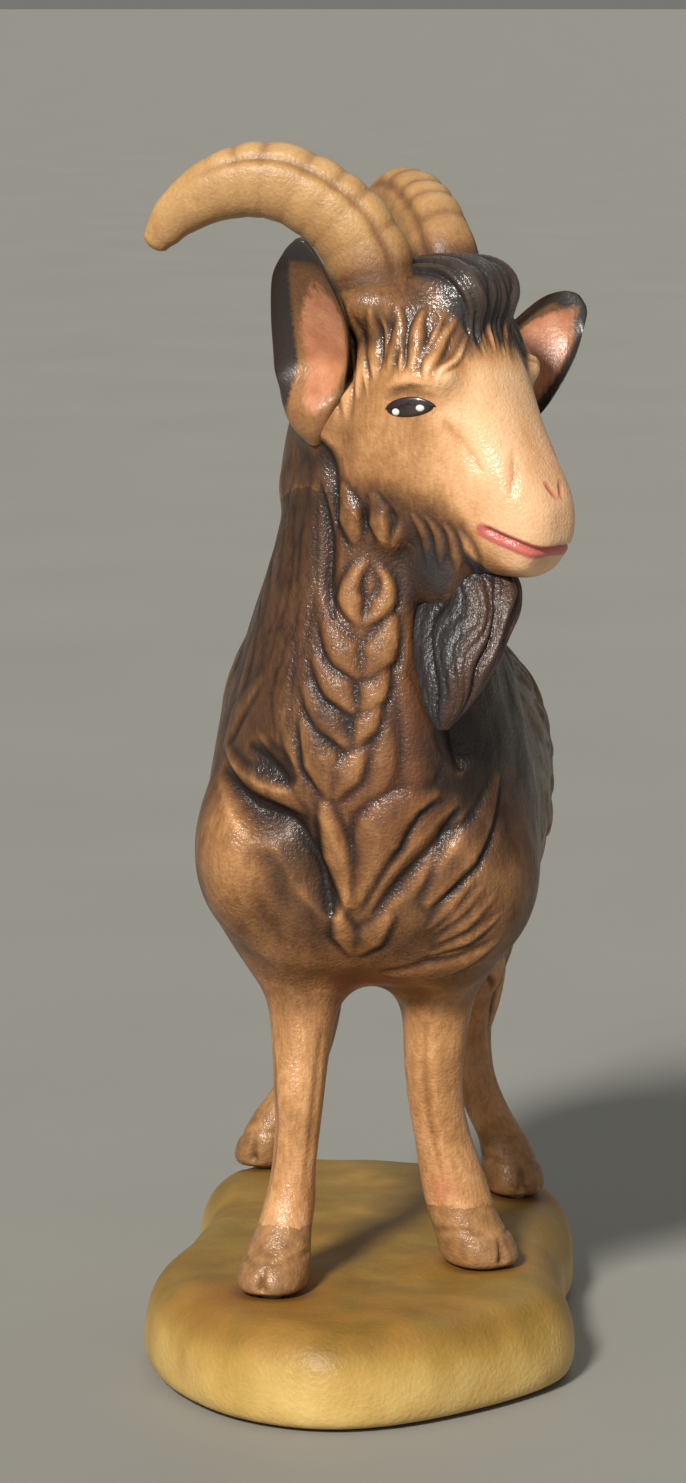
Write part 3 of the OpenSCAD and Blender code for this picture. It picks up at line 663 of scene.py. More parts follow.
def painted(p, normals):
    """The coat's marks, the same for every piece at the same place."""
    x, y, z = place = p.T
    f, s, u = head_axes(p)
    side, on_side = np.abs(s), (f, np.abs(s), u)
    form = form_at(p)
    ahead = soft(-normals[:, 1], -0.2, 0.6)
    # Body: brown, darker up the neck, lighter on the haunches and downwards, with painted shade in the hollows and
    # painted light on the rounded forms, painted light on the front of the goat's right shoulder and painted shade on
    # the goat's left flank
    tone = 0.34 + 0.09 * np.clip(form, -1, 1.5) + sum(tints(LIGHT, place))
    tone += 0.19 * blob(place, (-10.5, -20, 43.0), (4.6, 9, 6.4)) * ahead
    tone += 0.10 * soft(-z, -40, -33) + 0.08 * soft(x, 9, 13) * soft(y, -16, -6)
    tone -= 0.16 * soft(x, 7, 10) * soft(z, 42, 50) + 0.12 * soft(z, 52, 62) * soft(-x, 0, 4)
    leg = soft(-z, -34.5, -29.5)
    # Legs: painted light on their front faces, painted shade at their tops under the belly and on the rear legs, and
    # lighter lower down
    leg_tone = 0.58 + 0.05 * ahead - 0.06 * soft(z, 26, 34) - 0.07 * soft(y, 0, 12) + 0.05 * soft(-z, -22, -15)
    tone = tone * (1 - leg) + leg * leg_tone
    # Head: golden tan, peach on the muzzle, brown on the forehead, behind the cheek and along the jaw
    rear = np.interp(u, [3, 5, 7, 10, 12, 14, 17, 24], [1.5, -1.6, -2.4, -3.0, -4.8, -5.6, -6.0, -6.0])
    behind = soft(f - rear, -0.9, 0.9) * soft(z, 69.5, 72.5)
    snout = soft(f, 6.5, 8.5) * soft(z, 66.0, 67.4)
    face = np.maximum(behind, snout) * soft(-side, -13, -10) * soft(z, 66, 67)
    jaw = np.interp(f, [-3, 2, 6, 8, 9.5, 11.5, 14], [8.2, 7.2, 6.4, 4.9, 2.6, 0.2, -1.0])
    face_tone = 0.65 + 0.25 * soft(f, 4.5, 10.0)
    # Painted highlights: lighter spots on the cheeks and on the upper bridge of the nose
    face_tone += 0.14 * blob(on_side, (7.8, 3.6, 11.2), (2.6, 3.0, 4.2))
    face_tone += 0.10 * blob(on_side, (8.0, 1.5, 16.2), (1.8, 2.2, 3.0))
    face_tone -= 0.26 * soft(u, 15.6, 18.6) * soft(-f, -12.5, -10.0) + 0.34 * soft(jaw - u, -1.6, 1.9)
    face_tone -= 0.08 * soft(-f, -1.5, 3.5) + 0.16 * soft(-f, 2.2, 5.6)
    tone = tone * (1 - face) + face * face_tone
    # Charcoal on the crest, the far side of the forehead, under the jaw and round the beard's root
    crest = 0.95 * soft(u + 0.8 * np.sin(2.4 * s + 0.6) + 1.9 * soft(f, 4.5, 7.5), 19.2, 22.0)
    crest *= soft(f, -0.8, 1.4) * soft(-side, -4.9, -3.0)
    far = 0.9 * soft(u + 0.9 * np.sin(2.1 * s), 15.0, 18.4) * soft(s - 0.35 * (8.4 - f), 0.2, 1.8)
    far *= soft(f, 3.0, 5.5) * soft(-s, -6.5, -5.0)
    near = 0.55 * blob((f, s, u), (6.8, -2.5, 18.8), (2.2, 2.2, 2.6))
    under = 0.95 * soft(jaw - u, 1.6, 3.2) * soft(f, 2.0, 3.6) * soft(-f, -9.8, -8.2)
    root = 1.2 * blob((f, s, u), (4.8, -2.5, 0.8), (2.4, 4.0, 3.4))
    char = np.maximum(np.max([crest, far, near, under], axis=0) * face, root)
    red = 0.10 + sum(tints(RED, place))
    # Dark: the DARK tints, a painted shadow under the jaw on the neck, and painted shade in the body's hollows
    dark = np.max([*tints(DARK, place), 0.75 * blob(place, (-3.0, -24, 72.0), (1.6, 6, 4.0)) * (1 - face),
                   0.7 * soft(-form, -0.1, 0.8) * (1 - leg) * (1 - face)], axis=0)
    # Painted reflection: an olive rim of reflected light on the outer sides of both flanks
    olive_rim_light = 0.75 * soft(x, 8.5, 13) * soft(y, -17, -8) * soft(z, 38, 46) + 0.4 * soft(-x, 10, 14) * soft(y, -4, 4)
    # Lips, nostrils and the tints on the legs
    pink = np.max([
        1.2 * beside(p, MOUTH - 0.26 * UP, 0.85) * face, *(0.6 * beside(p, line, 0.42) for line in NOSTRILS),
        0.26 * face * blob(on_side, (11.0, 3.2, 7.8), (1.6, 1.6, 2.6)), 0.15 * face * soft(f, 8, 11),
        sum(tints([(0.42, (5.6, -12, 14.6), (1.6, 4, 1.5)), (0.26, (-4.2, -18, 15.6), (1.6, 3, 2.4))], place)),
        sum(tints([(0.35, (0, -17, 33.2), (4, 5, 1.4)), (0.20, (-9.2, -16, 31), (2, 6, 6))], place))], axis=0)
    hoof = np.max([0.5 * soft(-z, -11.0, -10.4), *(1.6 * beside(p, line, 0.9) for line in DEWCLAWS)], axis=0)
    return {"tone": tone, "char": char, "red": red, "dark": dark, "olive_rim_light": olive_rim_light, "pink": pink, "hoof": hoof,
            "sock": soft(-z, -13.9, -12.3), "coat": (1 - face) * (1 - leg)}


# ---- Materials ----


class Nodes:
    def __init__(self, name):
        self.material = bpy.data.materials.new(name)
        self.material.use_nodes = True
        self.tree = self.material.node_tree
        self.tree.nodes.clear()
        self.place = self.add("ShaderNodeTexCoord").outputs["Object"]

    def add(self, kind, inputs=(), **settings):
        node = self.tree.nodes.new(kind)
        for key, value in settings.items():
            setattr(node, key, value)
        for socket, value in dict(inputs).items():
            if isinstance(value, bpy.types.NodeSocket):
                self.tree.links.new(value, node.inputs[socket])
            else:
                node.inputs[socket].default_value = value
        return node

    def number(self, operation, a, b=0.0, c=0.0, clamp=False):
        return self.add("ShaderNodeMath", {0: a, 1: b, 2: c}, operation=operation, use_clamp=clamp).outputs[0]

    def mark(self, name):
        return self.add("ShaderNodeAttribute", attribute_name=name).outputs["Fac"]

    def noise(self, size, detail=3.0, stretch=(1, 1, 1), shift=0.0):
        """Noise whose features are about size millimetres, times stretch along each axis."""
        place = self.add("ShaderNodeMapping", {"Vector": self.place, "Location": (shift, shift, shift),
                                               "Scale": tuple(1 / s for s in stretch)}).outputs[0]
        return self.add("ShaderNodeTexNoise", {"Vector": place, "Scale": 1 / (size * MM), "Detail": detail,
                                               "Roughness": 0.55}).outputs["Fac"]

    def spread(self, value, low, high, to_low=0.0, to_high=1.0):
        return self.add("ShaderNodeMapRange", {"Value": value, "From Min": low, "From Max": high,
                                               "To Min": to_low, "To Max": to_high}).outputs[0]

    def varied(self, value, noise, edge, by):
        """The value with the noise added, which goes from -by at edge to by at 1 - edge."""
        return self.number("ADD", value, self.spread(noise, edge, 1 - edge, -by, by))

    def stained(self, cav, low, high, most, colour, darkening):
        """The colour with stain in its hollows."""
        return self.mix(self.spread(self.number("MULTIPLY", cav, -1.0), low, high, 0, most), colour, darkening)

    def mix(self, factor, a, b, blend="MIX"):
        node = self.add("ShaderNodeMix", data_type="RGBA", blend_type=blend)
        for socket, value in ((0, factor), (6, a), (7, b)):
            if isinstance(value, bpy.types.NodeSocket):
                self.tree.links.new(value, node.inputs[socket])
            else:
                node.inputs[socket].default_value = value if socket == 0 else (*value, 1.0)
        return node.outputs[2]

    def ramp(self, value, stops):
        node = self.add("ShaderNodeValToRGB", {"Fac": value})
        while len(node.color_ramp.elements) < len(stops):
            node.color_ramp.elements.new(0.5)
        for element, (at, colour) in zip(node.color_ramp.elements, stops):
            element.position = at
            element.color = (*colour, 1.0)
        return node.outputs["Color"]

    def bump(self, height, distance, strength, normal=None):
        inputs = {"Height": height, "Distance": distance * MM, "Strength": strength}
        if normal is not None:
            inputs["Normal"] = normal
        return self.add("ShaderNodeBump", inputs).outputs[0]

    def finish(self, colour, rough, normal, coat=0.35, coat_rough=0.22, specular=0.5):
        shader = self.add("ShaderNodeBsdfPrincipled", {
            "Base Color": colour, "Roughness": rough, "Normal": normal, "Coat Weight": coat,
            "Coat Roughness": coat_rough, "Coat Normal": normal, "Specular IOR Level": specular})
        self.add("ShaderNodeOutputMaterial", {"Surface": shader.outputs[0]})
        return self.material


def srgb(r, g, b):
    return tuple(((c / 255 + 0.055) / 1.055) ** 2.4 if c > 10 else c / 255 / 12.92 for c in (r, g, b))


BROWN_RAMP = [(0.0, srgb(20, 14, 11)), (0.18, srgb(50, 33, 21)), (0.36, srgb(96, 64, 38)), (0.52, srgb(142, 98, 58)),
              (0.68, srgb(188, 136, 86)), (0.82, srgb(226, 170, 118)), (1.0, srgb(252, 204, 156))]


def coat_paint(name, bumpy, gloss):
    """Wood stained and painted by hand: dark staining lies in the grooves and is rubbed light on the ridges, and
    painted shade and painted shadow darken the coat as well.
    """
    n = Nodes(name)
    mottle = n.noise(2.2, 4, (1, 1, 1.6))
    speck = n.noise(0.45, 3, (1, 1, 2.2), shift=0.31)
    grain = n.noise(0.22, 2, (1, 1, 9), shift=0.77)
    cav = n.mark("cav")
    tone = n.number("MULTIPLY_ADD", cav, 0.26, n.mark("tone"))
    tone = n.varied(n.varied(n.varied(tone, mottle, 0.3, 0.075), speck, 0.25, 0.06), grain, 0.25, 0.03)
    colour = n.ramp(tone, BROWN_RAMP)
    # Painted reflection: the olive rim of reflected light on the flanks
    colour = n.mix(n.number("MULTIPLY", n.mark("olive_rim_light"), 0.55), colour, srgb(116, 96, 48))
    red = n.number("MULTIPLY", n.mark("red"), n.spread(speck, 0.2, 0.7, 0.35, 0.9), clamp=True)
    colour = n.mix(red, colour, srgb(112, 60, 33))
    # The darkening: painted shadow and painted shade from the dark mark, with the staining in the grooves and patches
    # of it over the coat
    darkening = n.number("ADD", n.mark("dark"), n.number("MULTIPLY", cav, -0.50))
    darkening = n.varied(darkening, speck, 0.2, 0.22)
    patches = n.spread(n.noise(3.0, 3, (1, 1, 1.8), shift=0.63), 0.35, 0.7, -0.12, 0.34)
    darkening = n.number("ADD", darkening, n.number("MULTIPLY", n.mark("coat"), patches))
    colour = n.mix(n.spread(darkening, 0.05, 0.95, 0, 0.92), colour, srgb(27, 18, 15))
    char = n.varied(n.mark("char"), mottle, 0.3, 0.16)
    colour = n.mix(n.spread(char, 0.3, 0.75, 0, 0.95), colour, srgb(40, 37, 38))
    pink = n.varied(n.mark("pink"), speck, 0.2, 0.08)
    colour = n.mix(n.spread(pink, 0.08, 1.0, 0, 0.92), colour, srgb(200, 98, 92))
    patchy = n.noise(1.1, 3, shift=0.15)
    sock = n.number("MULTIPLY_ADD", n.mark("sock"), 1.7, n.spread(patchy, 0.3, 0.7, -0.5, 0.5))
    shade = n.mix(n.spread(patchy, 0.3, 0.7), srgb(112, 76, 44), srgb(172, 128, 80))
    colour = n.mix(n.spread(sock, 0.5, 0.72, 0, 0.8), colour, shade)
    hoof = n.number("MULTIPLY", n.mark("hoof"), n.spread(speck, 0.2, 0.8, 0.2, 0.6), clamp=True)
    colour = n.mix(hoof, colour, srgb(78, 50, 30))
    rough = n.spread(speck, 0.2, 0.8, 0.42, 0.64)
    normal = n.bump(grain, 0.05, 0.5 * bumpy)
    normal = n.bump(n.noise(0.28, 2.5, shift=0.5), 0.13, bumpy, normal)
    return n.finish(colour, rough, normal, n.spread(mottle, 0.35, 0.65, gloss - 0.2, gloss + 0.2), 0.17, 0.35)


def horn_paint(name):
    n = Nodes(name)
    mottle = n.noise(1.8, 4)
    speck = n.noise(0.35, 3, shift=0.2)
    cav = n.mark("cav")
    tone = n.number("MULTIPLY_ADD", cav, 0.12, n.mark("tone"))
    tone = n.varied(n.varied(tone, mottle, 0.3, 0.05), speck, 0.25, 0.05)
    colour = n.ramp(tone, [(0.0, srgb(60, 40, 28)), (0.3, srgb(120, 82, 52)), (0.5, srgb(168, 124, 78)),
                           (0.7, srgb(200, 156, 100)), (1.0, srgb(232, 200, 148))])
    colour = n.stained(cav, 0.2, 1.2, 0.6, colour, srgb(110, 72, 42))
    normal = n.bump(n.noise(0.3, 3, shift=0.6), 0.10, 0.7)
    return n.finish(colour, n.spread(speck, 0.2, 0.8, 0.42, 0.6), normal, 0.22, 0.28)


def ear_paint(name):
    n = Nodes(name)
    mottle = n.noise(1.4, 4)
    speck = n.noise(0.3, 3, shift=0.2)
    hair = n.noise(0.35, 2, (1, 1, 5), shift=0.4)
    colour = n.ramp(n.varied(n.mark("tone"), speck, 0.2, 0.05), BROWN_RAMP)
    pink = n.varied(n.mark("pink"), hair, 0.25, 0.18)
    rosy = n.mix(n.spread(mottle, 0.3, 0.7), srgb(188, 118, 82), srgb(214, 150, 114))
    colour = n.mix(n.spread(pink, 0.35, 0.75, 0, 0.9), colour, rosy)
    char = n.varied(n.mark("char"), speck, 0.2, 0.2)
    colour = n.mix(n.spread(char, 0.35, 0.7, 0, 0.95), colour, srgb(40, 37, 37))
    normal = n.bump(hair, 0.06, 0.5)
    normal = n.bump(n.noise(0.3, 3, shift=0.6), 0.08, 0.5, normal)
    return n.finish(colour, n.spread(speck, 0.2, 0.8, 0.34, 0.5), normal, 0.4, 0.25)


def beard_paint(name):
    n = Nodes(name)
    speck = n.noise(0.3, 3, shift=0.2)
    hair = n.noise(0.3, 3, (1, 1, 7), shift=0.4)
    cav = n.mark("cav")
    colour = n.mix(n.spread(hair, 0.3, 0.7), srgb(30, 28, 30), srgb(56, 52, 54))
    warm = n.varied(n.mark("red"), hair, 0.25, 0.3)
    colour = n.mix(n.spread(warm, 0.35, 0.85, 0, 0.85), colour, srgb(74, 48, 33))
    colour = n.stained(cav, 0.1, 1.0, 0.8, colour, srgb(14, 11, 12))
    normal = n.bump(hair, 0.10, 0.9)
    normal = n.bump(n.noise(0.35, 2, shift=0.6), 0.16, 0.9, normal)
    return n.finish(colour, n.spread(speck, 0.2, 0.8, 0.36, 0.56), normal, 0.32, 0.22)


def plinth_paint(name):
    n = Nodes(name)
    mottle = n.noise(5.5, 5, (1, 1, 1.3))
    cloud = n.noise(12, 3, shift=0.4)
    speck = n.noise(0.5, 3, shift=0.2)
    grain = n.noise(0.4, 3, (14, 1, 1), shift=0.6)
    colour = n.ramp(n.varied(n.mark("tone"), mottle, 0.3, 0.13),
                    [(0.0, srgb(104, 76, 34)), (0.35, srgb(146, 112, 48)), (0.6, srgb(182, 144, 70)),
                     (0.8, srgb(206, 170, 98)), (1.0, srgb(226, 194, 126))])
    warm = n.varied(n.mark("warm"), mottle, 0.3, 0.25)
    colour = n.mix(n.spread(warm, 0.3, 1.1, 0, 0.75), colour, srgb(166, 104, 42))
    colour = n.mix(n.spread(cloud, 0.45, 0.75, 0, 0.35), colour, srgb(132, 122, 52))
    # Darker round the hooves and along the bottom edge
    colour = n.mix(n.spread(n.mark("darker_round_hooves_and_bottom"), 0.1, 1.0, 0, 0.7), colour, srgb(74, 52, 28))
    colour = n.mix(n.spread(speck, 0.58, 0.74, 0, 0.25), colour, srgb(228, 198, 128), "SOFT_LIGHT")
    normal = n.bump(grain, 0.05, 0.4)
    normal = n.bump(n.noise(0.4, 3, shift=0.9), 0.12, 0.7, normal)
    return n.finish(colour, n.spread(mottle, 0.25, 0.75, 0.46, 0.6), normal, 0.16, 0.34, 0.4)


def dowel_paint(name):
    n = Nodes(name)
    grain = n.noise(0.3, 4, (1, 1, 12))
    colour = n.ramp(grain, [(0.2, srgb(180, 140, 92)), (0.8, srgb(222, 190, 142))])
    return n.finish(colour, n.spread(grain, 0.2, 0.8, 0.55, 0.7), n.bump(grain, 0.04, 0.4), 0.0)


# ---- The pieces carved from the common body ----


def cavity(points, quads, normals, times):
    smooth = relaxed(points, quads, times, 0.9)
    return ((points - smooth) * normals).sum(1)


def smooth_normals(points, quads):
    a, c = points[quads[:, 2]] - points[quads[:, 0]], points[quads[:, 3]] - points[quads[:, 1]]
    face = np.cross(a, c)
    out = np.stack([sum(np.bincount(quads[:, k], face[:, d], len(points)) for k in range(4)) for d in range(3)], 1)
    return out / np.maximum(np.linalg.norm(out, axis=1), 1e-12)[:, None]


def make_body(node, step, material):
    points, quads = carved_piece(node, step)
    normals = normals_at(points)
    skin = soft(depth(points), -0.34, -0.12)
    marks = painted(points, normals)
    shaped, move = carved(points, normals, skin)
    shaped = relaxed(shaped, quads, 1, 0.4)
    times = int(round(10 * (0.25 / (step * GRADE)) ** 2))
    cav = cavity(shaped, quads, smooth_normals(shaped, quads), times)
    marks["cav"] = np.clip(cav / 0.16, -1.5, 1.5) * skin
    return show("carved_" + node, shaped, quads, marks, material, node)


coat = {slot: coat_paint(slot + "_paint", bumpy, gloss) for slot, bumpy, gloss in (
    ("coat_wood", 0.85, 0.35), ("face_wood", 0.6, 0.6), ("leg_wood", 0.75, 0.45), ("tail_wood", 0.85, 0.35))}
make_body("torso", 0.25, coat["coat_wood"])
make_body("head", 0.18, coat["face_wood"])
make_body("tail", 0.25, coat["tail_wood"])
for n in LEGS:
    make_body(n, 0.22, coat["leg_wood"])

# ---- Swept pieces ----


def ring_mesh(rings):
    """Quads of a tube through rings. Each end is closed by a row of quads laid across its ring."""
    rings = np.array(rings)
    rows, n = rings.shape[:2]
    points = rings.reshape(-1, 3)
    r, k = np.meshgrid(np.arange(rows - 1), np.arange(n), indexing="ij")
    a, b = r * n + k, r * n + (k + 1) % n
    walls = np.stack([a, b, b + n, a + n], -1).reshape(-1, 4)
    half = n // 2
    caps = []
    for first, flip in ((0, True), ((rows - 1) * n, False)):
        for j in range(half - 1):
            quad = [first + j, first + j + 1, first + n - 2 - j, first + n - 1 - j]
            caps.append(quad[::-1] if flip else quad)
    return points, np.vstack([walls, np.array(caps)])


def aimed(direction):
    """A rotation that takes Z to the direction."""
    d = np.array(direction, float)
    d /= np.linalg.norm(d)
    tilt, turn = math.acos(d[2]), math.atan2(d[1], d[0])
    ct, st, cz, sz = math.cos(tilt), math.sin(tilt), math.cos(turn), math.sin(turn)
    return np.array([[cz, -sz, 0], [sz, cz, 0], [0, 0, 1]]) @ np.array([[ct, 0, st], [0, 1, 0], [-st, 0, ct]])


# The horns' middle lines and beams: how far along, how high, and the share of the root's thickness
HORN_REACH, HORN_D, RIDGE_PITCH = 17.5, 6.6, 2.25
HORN = [[0.00, 0.0, 1.00], [0.02, 2.5, 1.00], [0.13, 5.9, 0.95], [0.34, 8.5, 0.91], [0.53, 9.2, 0.87],
        [0.73, 8.4, 0.76], [0.89, 6.6, 0.58], [0.96, 5.2, 0.45], [0.99, 4.5, 0.35]]


def superellipse(w):
    """Fills out a circle's sine or cosine a little, towards a rounded square."""
    return np.sign(w) * np.abs(w) ** (2 / 2.2)


def make_horn(node, s, lift, light_and_shade, material):
    way = head_way(-0.86, s * 0.51, 0)
    across = np.array([-way[1], way[0], 0])
    root = head_point(-0.8, s * 4.5, 0.885 * HEAD_H)
    rows = drawn(HORN, 150)
    centres = root + way * rows[:, :1] * HORN_REACH + UP * rows[:, 1:2] * lift
    along = np.gradient(centres, axis=0)
    along[0] = head_way(-0.30, s * 0.25, 0.92)
    along /= np.linalg.norm(along, axis=1)[:, None]
    length = np.concatenate([[0], np.cumsum(np.linalg.norm(np.diff(centres, axis=0), axis=1))])
    angles = np.linspace(0, 2 * math.pi, 72, endpoint=False)
    ca, sa = np.cos(angles), np.sin(angles)
    # The ridges run over the front, between two furrows
    band = soft(sa, 0.62, 0.86)
    furrow = np.exp(-((sa - 0.60) / 0.12) ** 2)
    rings, cav, tone = [], [], []
    for k in range(len(rows)):
        u = np.cross(along[k], np.cross(across, along[k]))
        u /= np.linalg.norm(u)
        v = np.cross(along[k], u)
        share = length[k] / length[-1]
        half = rows[k, 2] * HORN_D / 2
        live = soft(1 - share, 0.16, 0.42) * soft(share, 0.02, 0.12)
        phase = (length[k] / RIDGE_PITCH + 0.15 * math.sin(length[k] * 0.8)) % 1.0
        ridge = math.sin(math.pi * phase) ** 0.7
        rise = live * (band * (0.20 * ridge - 0.02) - 0.24 * furrow + 0.07 * (1 - band) * ridge)
        rings.append(centres[k] + np.outer(superellipse(ca) * (half * 0.86) + ca * rise, u)
                     + np.outer(superellipse(sa) * half + sa * rise, v))
        cav.append(live * (band * (ridge - 0.75) * 1.3 - 0.9 * furrow + 0.5 * (1 - band) * (ridge - 0.7)))
        root_dark, tip_dark = 0.34 * (1 - soft(share, 0.05, 0.22)), 0.05 * soft(share, 0.93, 1.0)
        # The horn's own shift in tone is painted light on the near horn and painted shade on the far horn
        tone.append(0.58 + light_and_shade + 0.06 * sa + 0.04 * band - root_dark - tip_dark)
    # A rounded tip
    last, end = rings[-1], rings[-1].mean(0)
    for t in (0.35, 0.65, 0.87, 0.98):
        rings.append(end + (last - end) * math.sqrt(1 - t * t) + along[-1] * 0.75 * t)
        cav.append(cav[-1])
        tone.append(tone[-1])
    points, quads = ring_mesh(rings)
    marks = {"cav": np.concatenate(cav), "tone": np.concatenate(tone)}
    return show("carved_" + node, points, quads, marks, material, node)


horn = horn_paint("horn_wood_paint")
# The near horn a little lighter and the far horn darker: painted light and painted shade on one paint
make_horn("horn_right", -1, 1.0, 0.02, horn)
make_horn("horn_left", 1, 0.72, -0.10, horn)

# The ears' blades: how far along, the half widths away from the face and towards it, the half thickness and how far
# the middle stands out from the skull
EAR_L = 15
EAR = {"ear_right": [[-0.20, 1.1, 0.5, 0.9, 2.3], [-0.10, 2.5, 1.2, 1.5, 2.0], [0.02, 3.3, 1.9, 1.7, 1.5],
                     [0.16, 3.7, 2.5, 1.6, 0.9], [0.32, 3.8, 3.0, 1.4, 0.35], [0.55, 3.6, 3.3, 1.15, 0],
                     [0.78, 2.8, 2.5, 0.9, 0], [0.93, 1.5, 1.3, 0.6, 0], [1, 0.45, 0.4, 0.3, 0]],
       "ear_left": [[0, 1.95, 2.6, 1.95, 0], [0.12, 1.2, 4.8, 1.8, 0], [0.28, 0.7, 6.4, 1.5, 0],
                    [0.45, 0.9, 6.2, 1.3, 0], [0.62, 1.5, 5.2, 1.1, 0], [0.80, 1.9, 3.6, 0.9, 0],
                    [0.92, 1.6, 2.0, 0.7, 0], [0.98, 1.0, 1.1, 0.5, 0], [1, 0.5, 0.5, 0.3, 0]]}


def make_ear(node, s, way, turn, lean, lined, material):
    """An ear whose hollow side is turned about its own length, with the pink's middle off to lean and at lined."""
    matrix = aimed(way) @ np.array([[math.cos(turn), -math.sin(turn), 0], [math.sin(turn), math.cos(turn), 0], UP])
    root = head_point(-4.0, s * 5.9, 0.54 * HEAD_H)
    inner = 1.0 if (matrix @ Y_AXIS) @ head_way(0.75, s * 0.65, 0) > 0 else -1.0
    angles = np.linspace(0, 2 * math.pi, 64, endpoint=False)
    ca, sa = np.cos(angles), np.sin(angles)
    arch = np.clip(1 - ca ** 2, 0, 1)
    wall = (0.40 + 0.35 * arch) * np.abs(sa) ** 0.35
    outer, facing = soft(-ca, 0.42, 0.80), soft(ca, 0.74, 0.92)
    rings, pink, char, tone = [], [], [], []
    for share, away, toward, half, out in drawn(EAR[node], 90):
        # Solid at root and tip, and between them a sheet that is cupped round the opening
        cup = soft(share, 0.02, 0.26) * (1 - 0.75 * soft(share, 0.80, 1.0))
        sheet = 0.75 - (0.75 + 1.15 * half) * arch ** 0.62 + np.where(sa >= 0, wall, 0)
        y = half * sa * (1 - cup) + sheet * cup
        w = np.where(ca > 0, toward, away)
        blade = matrix @ np.stack([w * ca, inner * y, np.full_like(ca, share * EAR_L)])
        rings.append(root + LEFT * s * out + blade.T)
        off = ((ca - lean) / 0.80) ** 2 + ((share - lined) / 0.46) ** 2
        inside = (sa > 0) * (1 - soft(off, 0.25, 1.05))
        pink.append(inside * (1 - 0.35 * soft(share, lined + 0.1, lined + 0.4)))
        rim = np.max([outer, facing * (s > 0), np.full_like(ca, soft(share, 0.80, 0.93))], axis=0)
        char.append(soft(share, -0.12, 0.10) * np.where(sa > 0, rim * (1 - 0.8 * inside), 1.0))
        tone.append(0.56 - 0.14 * soft(share, 0.2, 0.7) - 0.1 * (sa < 0) - 0.16 * facing)
    # Rings that run the other way round are turned, so that the faces look outwards
    order = slice(None, None, int(inner))
    points, quads = ring_mesh([ring[order] for ring in rings])
    marks = {key: np.concatenate([a[order] for a in values])
             for key, values in (("pink", pink), ("char", char), ("tone", tone))}
    return show("carved_" + node, points, quads, marks, material, node)


ear = ear_paint("ear_wood_paint")
make_ear("ear_right", -1, head_way(0.14, -0.42, 0.88), math.radians(78), 0.16, 0.38, ear)
make_ear("ear_left", 1, head_way(0.57, 0.65, 0.50), math.radians(-12), 0.20, 0.60, ear)

# The beard: how far down, forwards, to the goat's left, and its half widths along the face and across it
BEARD_L = 13.5
BEARD = [[0, 0, 0, 2.4, 2.4], [0.12, 0.23, -0.33, 3.9, 2.7], [0.3, 0.80, -1.35, 4.6, 2.8], [0.5, 1.18, -2.67, 4.1, 2.5],
         [0.7, 1.22, -3.86, 3.1, 2.1], [0.88, 1.24, -4.62, 1.8, 1.4], [1, 1.14, -4.92, 0.5, 0.5]]


def make_beard(material):
    root = head_point(5.2, 0, 0.075 * HEAD_H)
    angles = np.linspace(0, 2 * math.pi, 144, endpoint=False)
    ca, sa = np.cos(angles), np.sin(angles)
    rings, cav, red = [], [], []
    for share, forward, side, w, h in drawn(BEARD, 110):
        live = soft(share, 0.02, 0.2) * (1 - 0.6 * soft(share, 0.85, 1.0))
        turned = angles + 0.5 * share + 0.13 * math.sin(9 * share) + 0.10 * np.sin(3 * angles + 14 * share)
        lobes = np.abs(np.sin(3.5 * turned + 0.9 * np.sin(2 * turned)))
        split = np.abs(np.sin(9 * turned + 1.1 + 0.8 * math.sin(7 * share)))
        swell = 1 + live * (0.20 * (lobes ** 0.6 - 0.8) + 0.06 * (split - 0.6) + 0.05 * np.sin(angles + 11 * share))
        middle = root + head_way(forward, side, -share * BEARD_L)
        rings.append(middle + np.outer(ca * w * swell, FORWARD) - np.outer(sa * h * swell, LEFT))
        cav.append(live * ((lobes ** 0.6 - 0.75) * 1.6 + 0.5 * (split - 0.6)))
        red.append(soft(ca, 0.05, 0.75) * soft(share, 0.04, 0.2))
    points, quads = ring_mesh(rings)
    marks = {"cav": np.concatenate(cav), "red": np.concatenate(red)}
    return show("carved_beard", points, quads[:, ::-1], marks, material, "beard")


make_beard(beard_paint("beard_wood_paint"))

# ---- Plinth ----


def make_plinth(material):
    step = 0.45 * GRADE
    target = Field(plinth_low - 2, plinth_high + 2, step)
    values = blurred(distance(target, "plinth"), 0.5 / step)
    points, quads = extract(values, target)
    points = relaxed(points, quads, 2)
    x, y, z = points.T
    normals = smooth_normals(points, quads)
    waves = np.sin(0.42 * x + 0.31 * y + 1.3) + np.sin(-0.27 * x + 0.52 * y + 0.4)
    waves = (waves + 0.6 * np.sin(0.8 * x - 0.35 * y + 0.9 * z)) / 2.6
    top = soft(normals[:, 2], 0.2, 0.8)
    lift = soft(z, 0.6, 2.0)
    points = points + normals * (lift * (0.22 * waves - 0.1 * top))[:, None]
    near = np.min([np.hypot(x - a, y - b) for a, b in FOOT.values()], axis=0)
    warm = 0.75 * np.exp(-(np.maximum(near - 2, 0) / 4.5) ** 2) * top
    warm += 0.55 * top * soft(-y, 12, 26) + 0.45 * (1 - top) * soft(z, 4, 7)
    # Darker round the hooves and along the plinth's bottom edge
    darker_round_hooves_and_bottom = 0.8 * np.exp(-(np.maximum(near - 2.6, 0) / 1.0) ** 2) * top + 0.35 * soft(-z, -0.9, -0.1)
    tone = 0.52 + 0.30 * (1 - top) * soft(-z, -7, -2) - 0.16 * top
    marks = {"tone": tone, "warm": warm, "darker_round_hooves_and_bottom": darker_round_hooves_and_bottom}
    return show("carved_plinth", points, quads, marks, material, "plinth")


make_plinth(plinth_paint("plinth_wood_paint"))
dowel = dowel_paint("dowel_wood_paint")
for n in ("neck_dowel", "hoof_pegs"):
    nodes[n].data.materials.clear()
    nodes[n].data.materials.append(dowel)

# ---- Eyes: a painted almond with a lid line and two dots ----


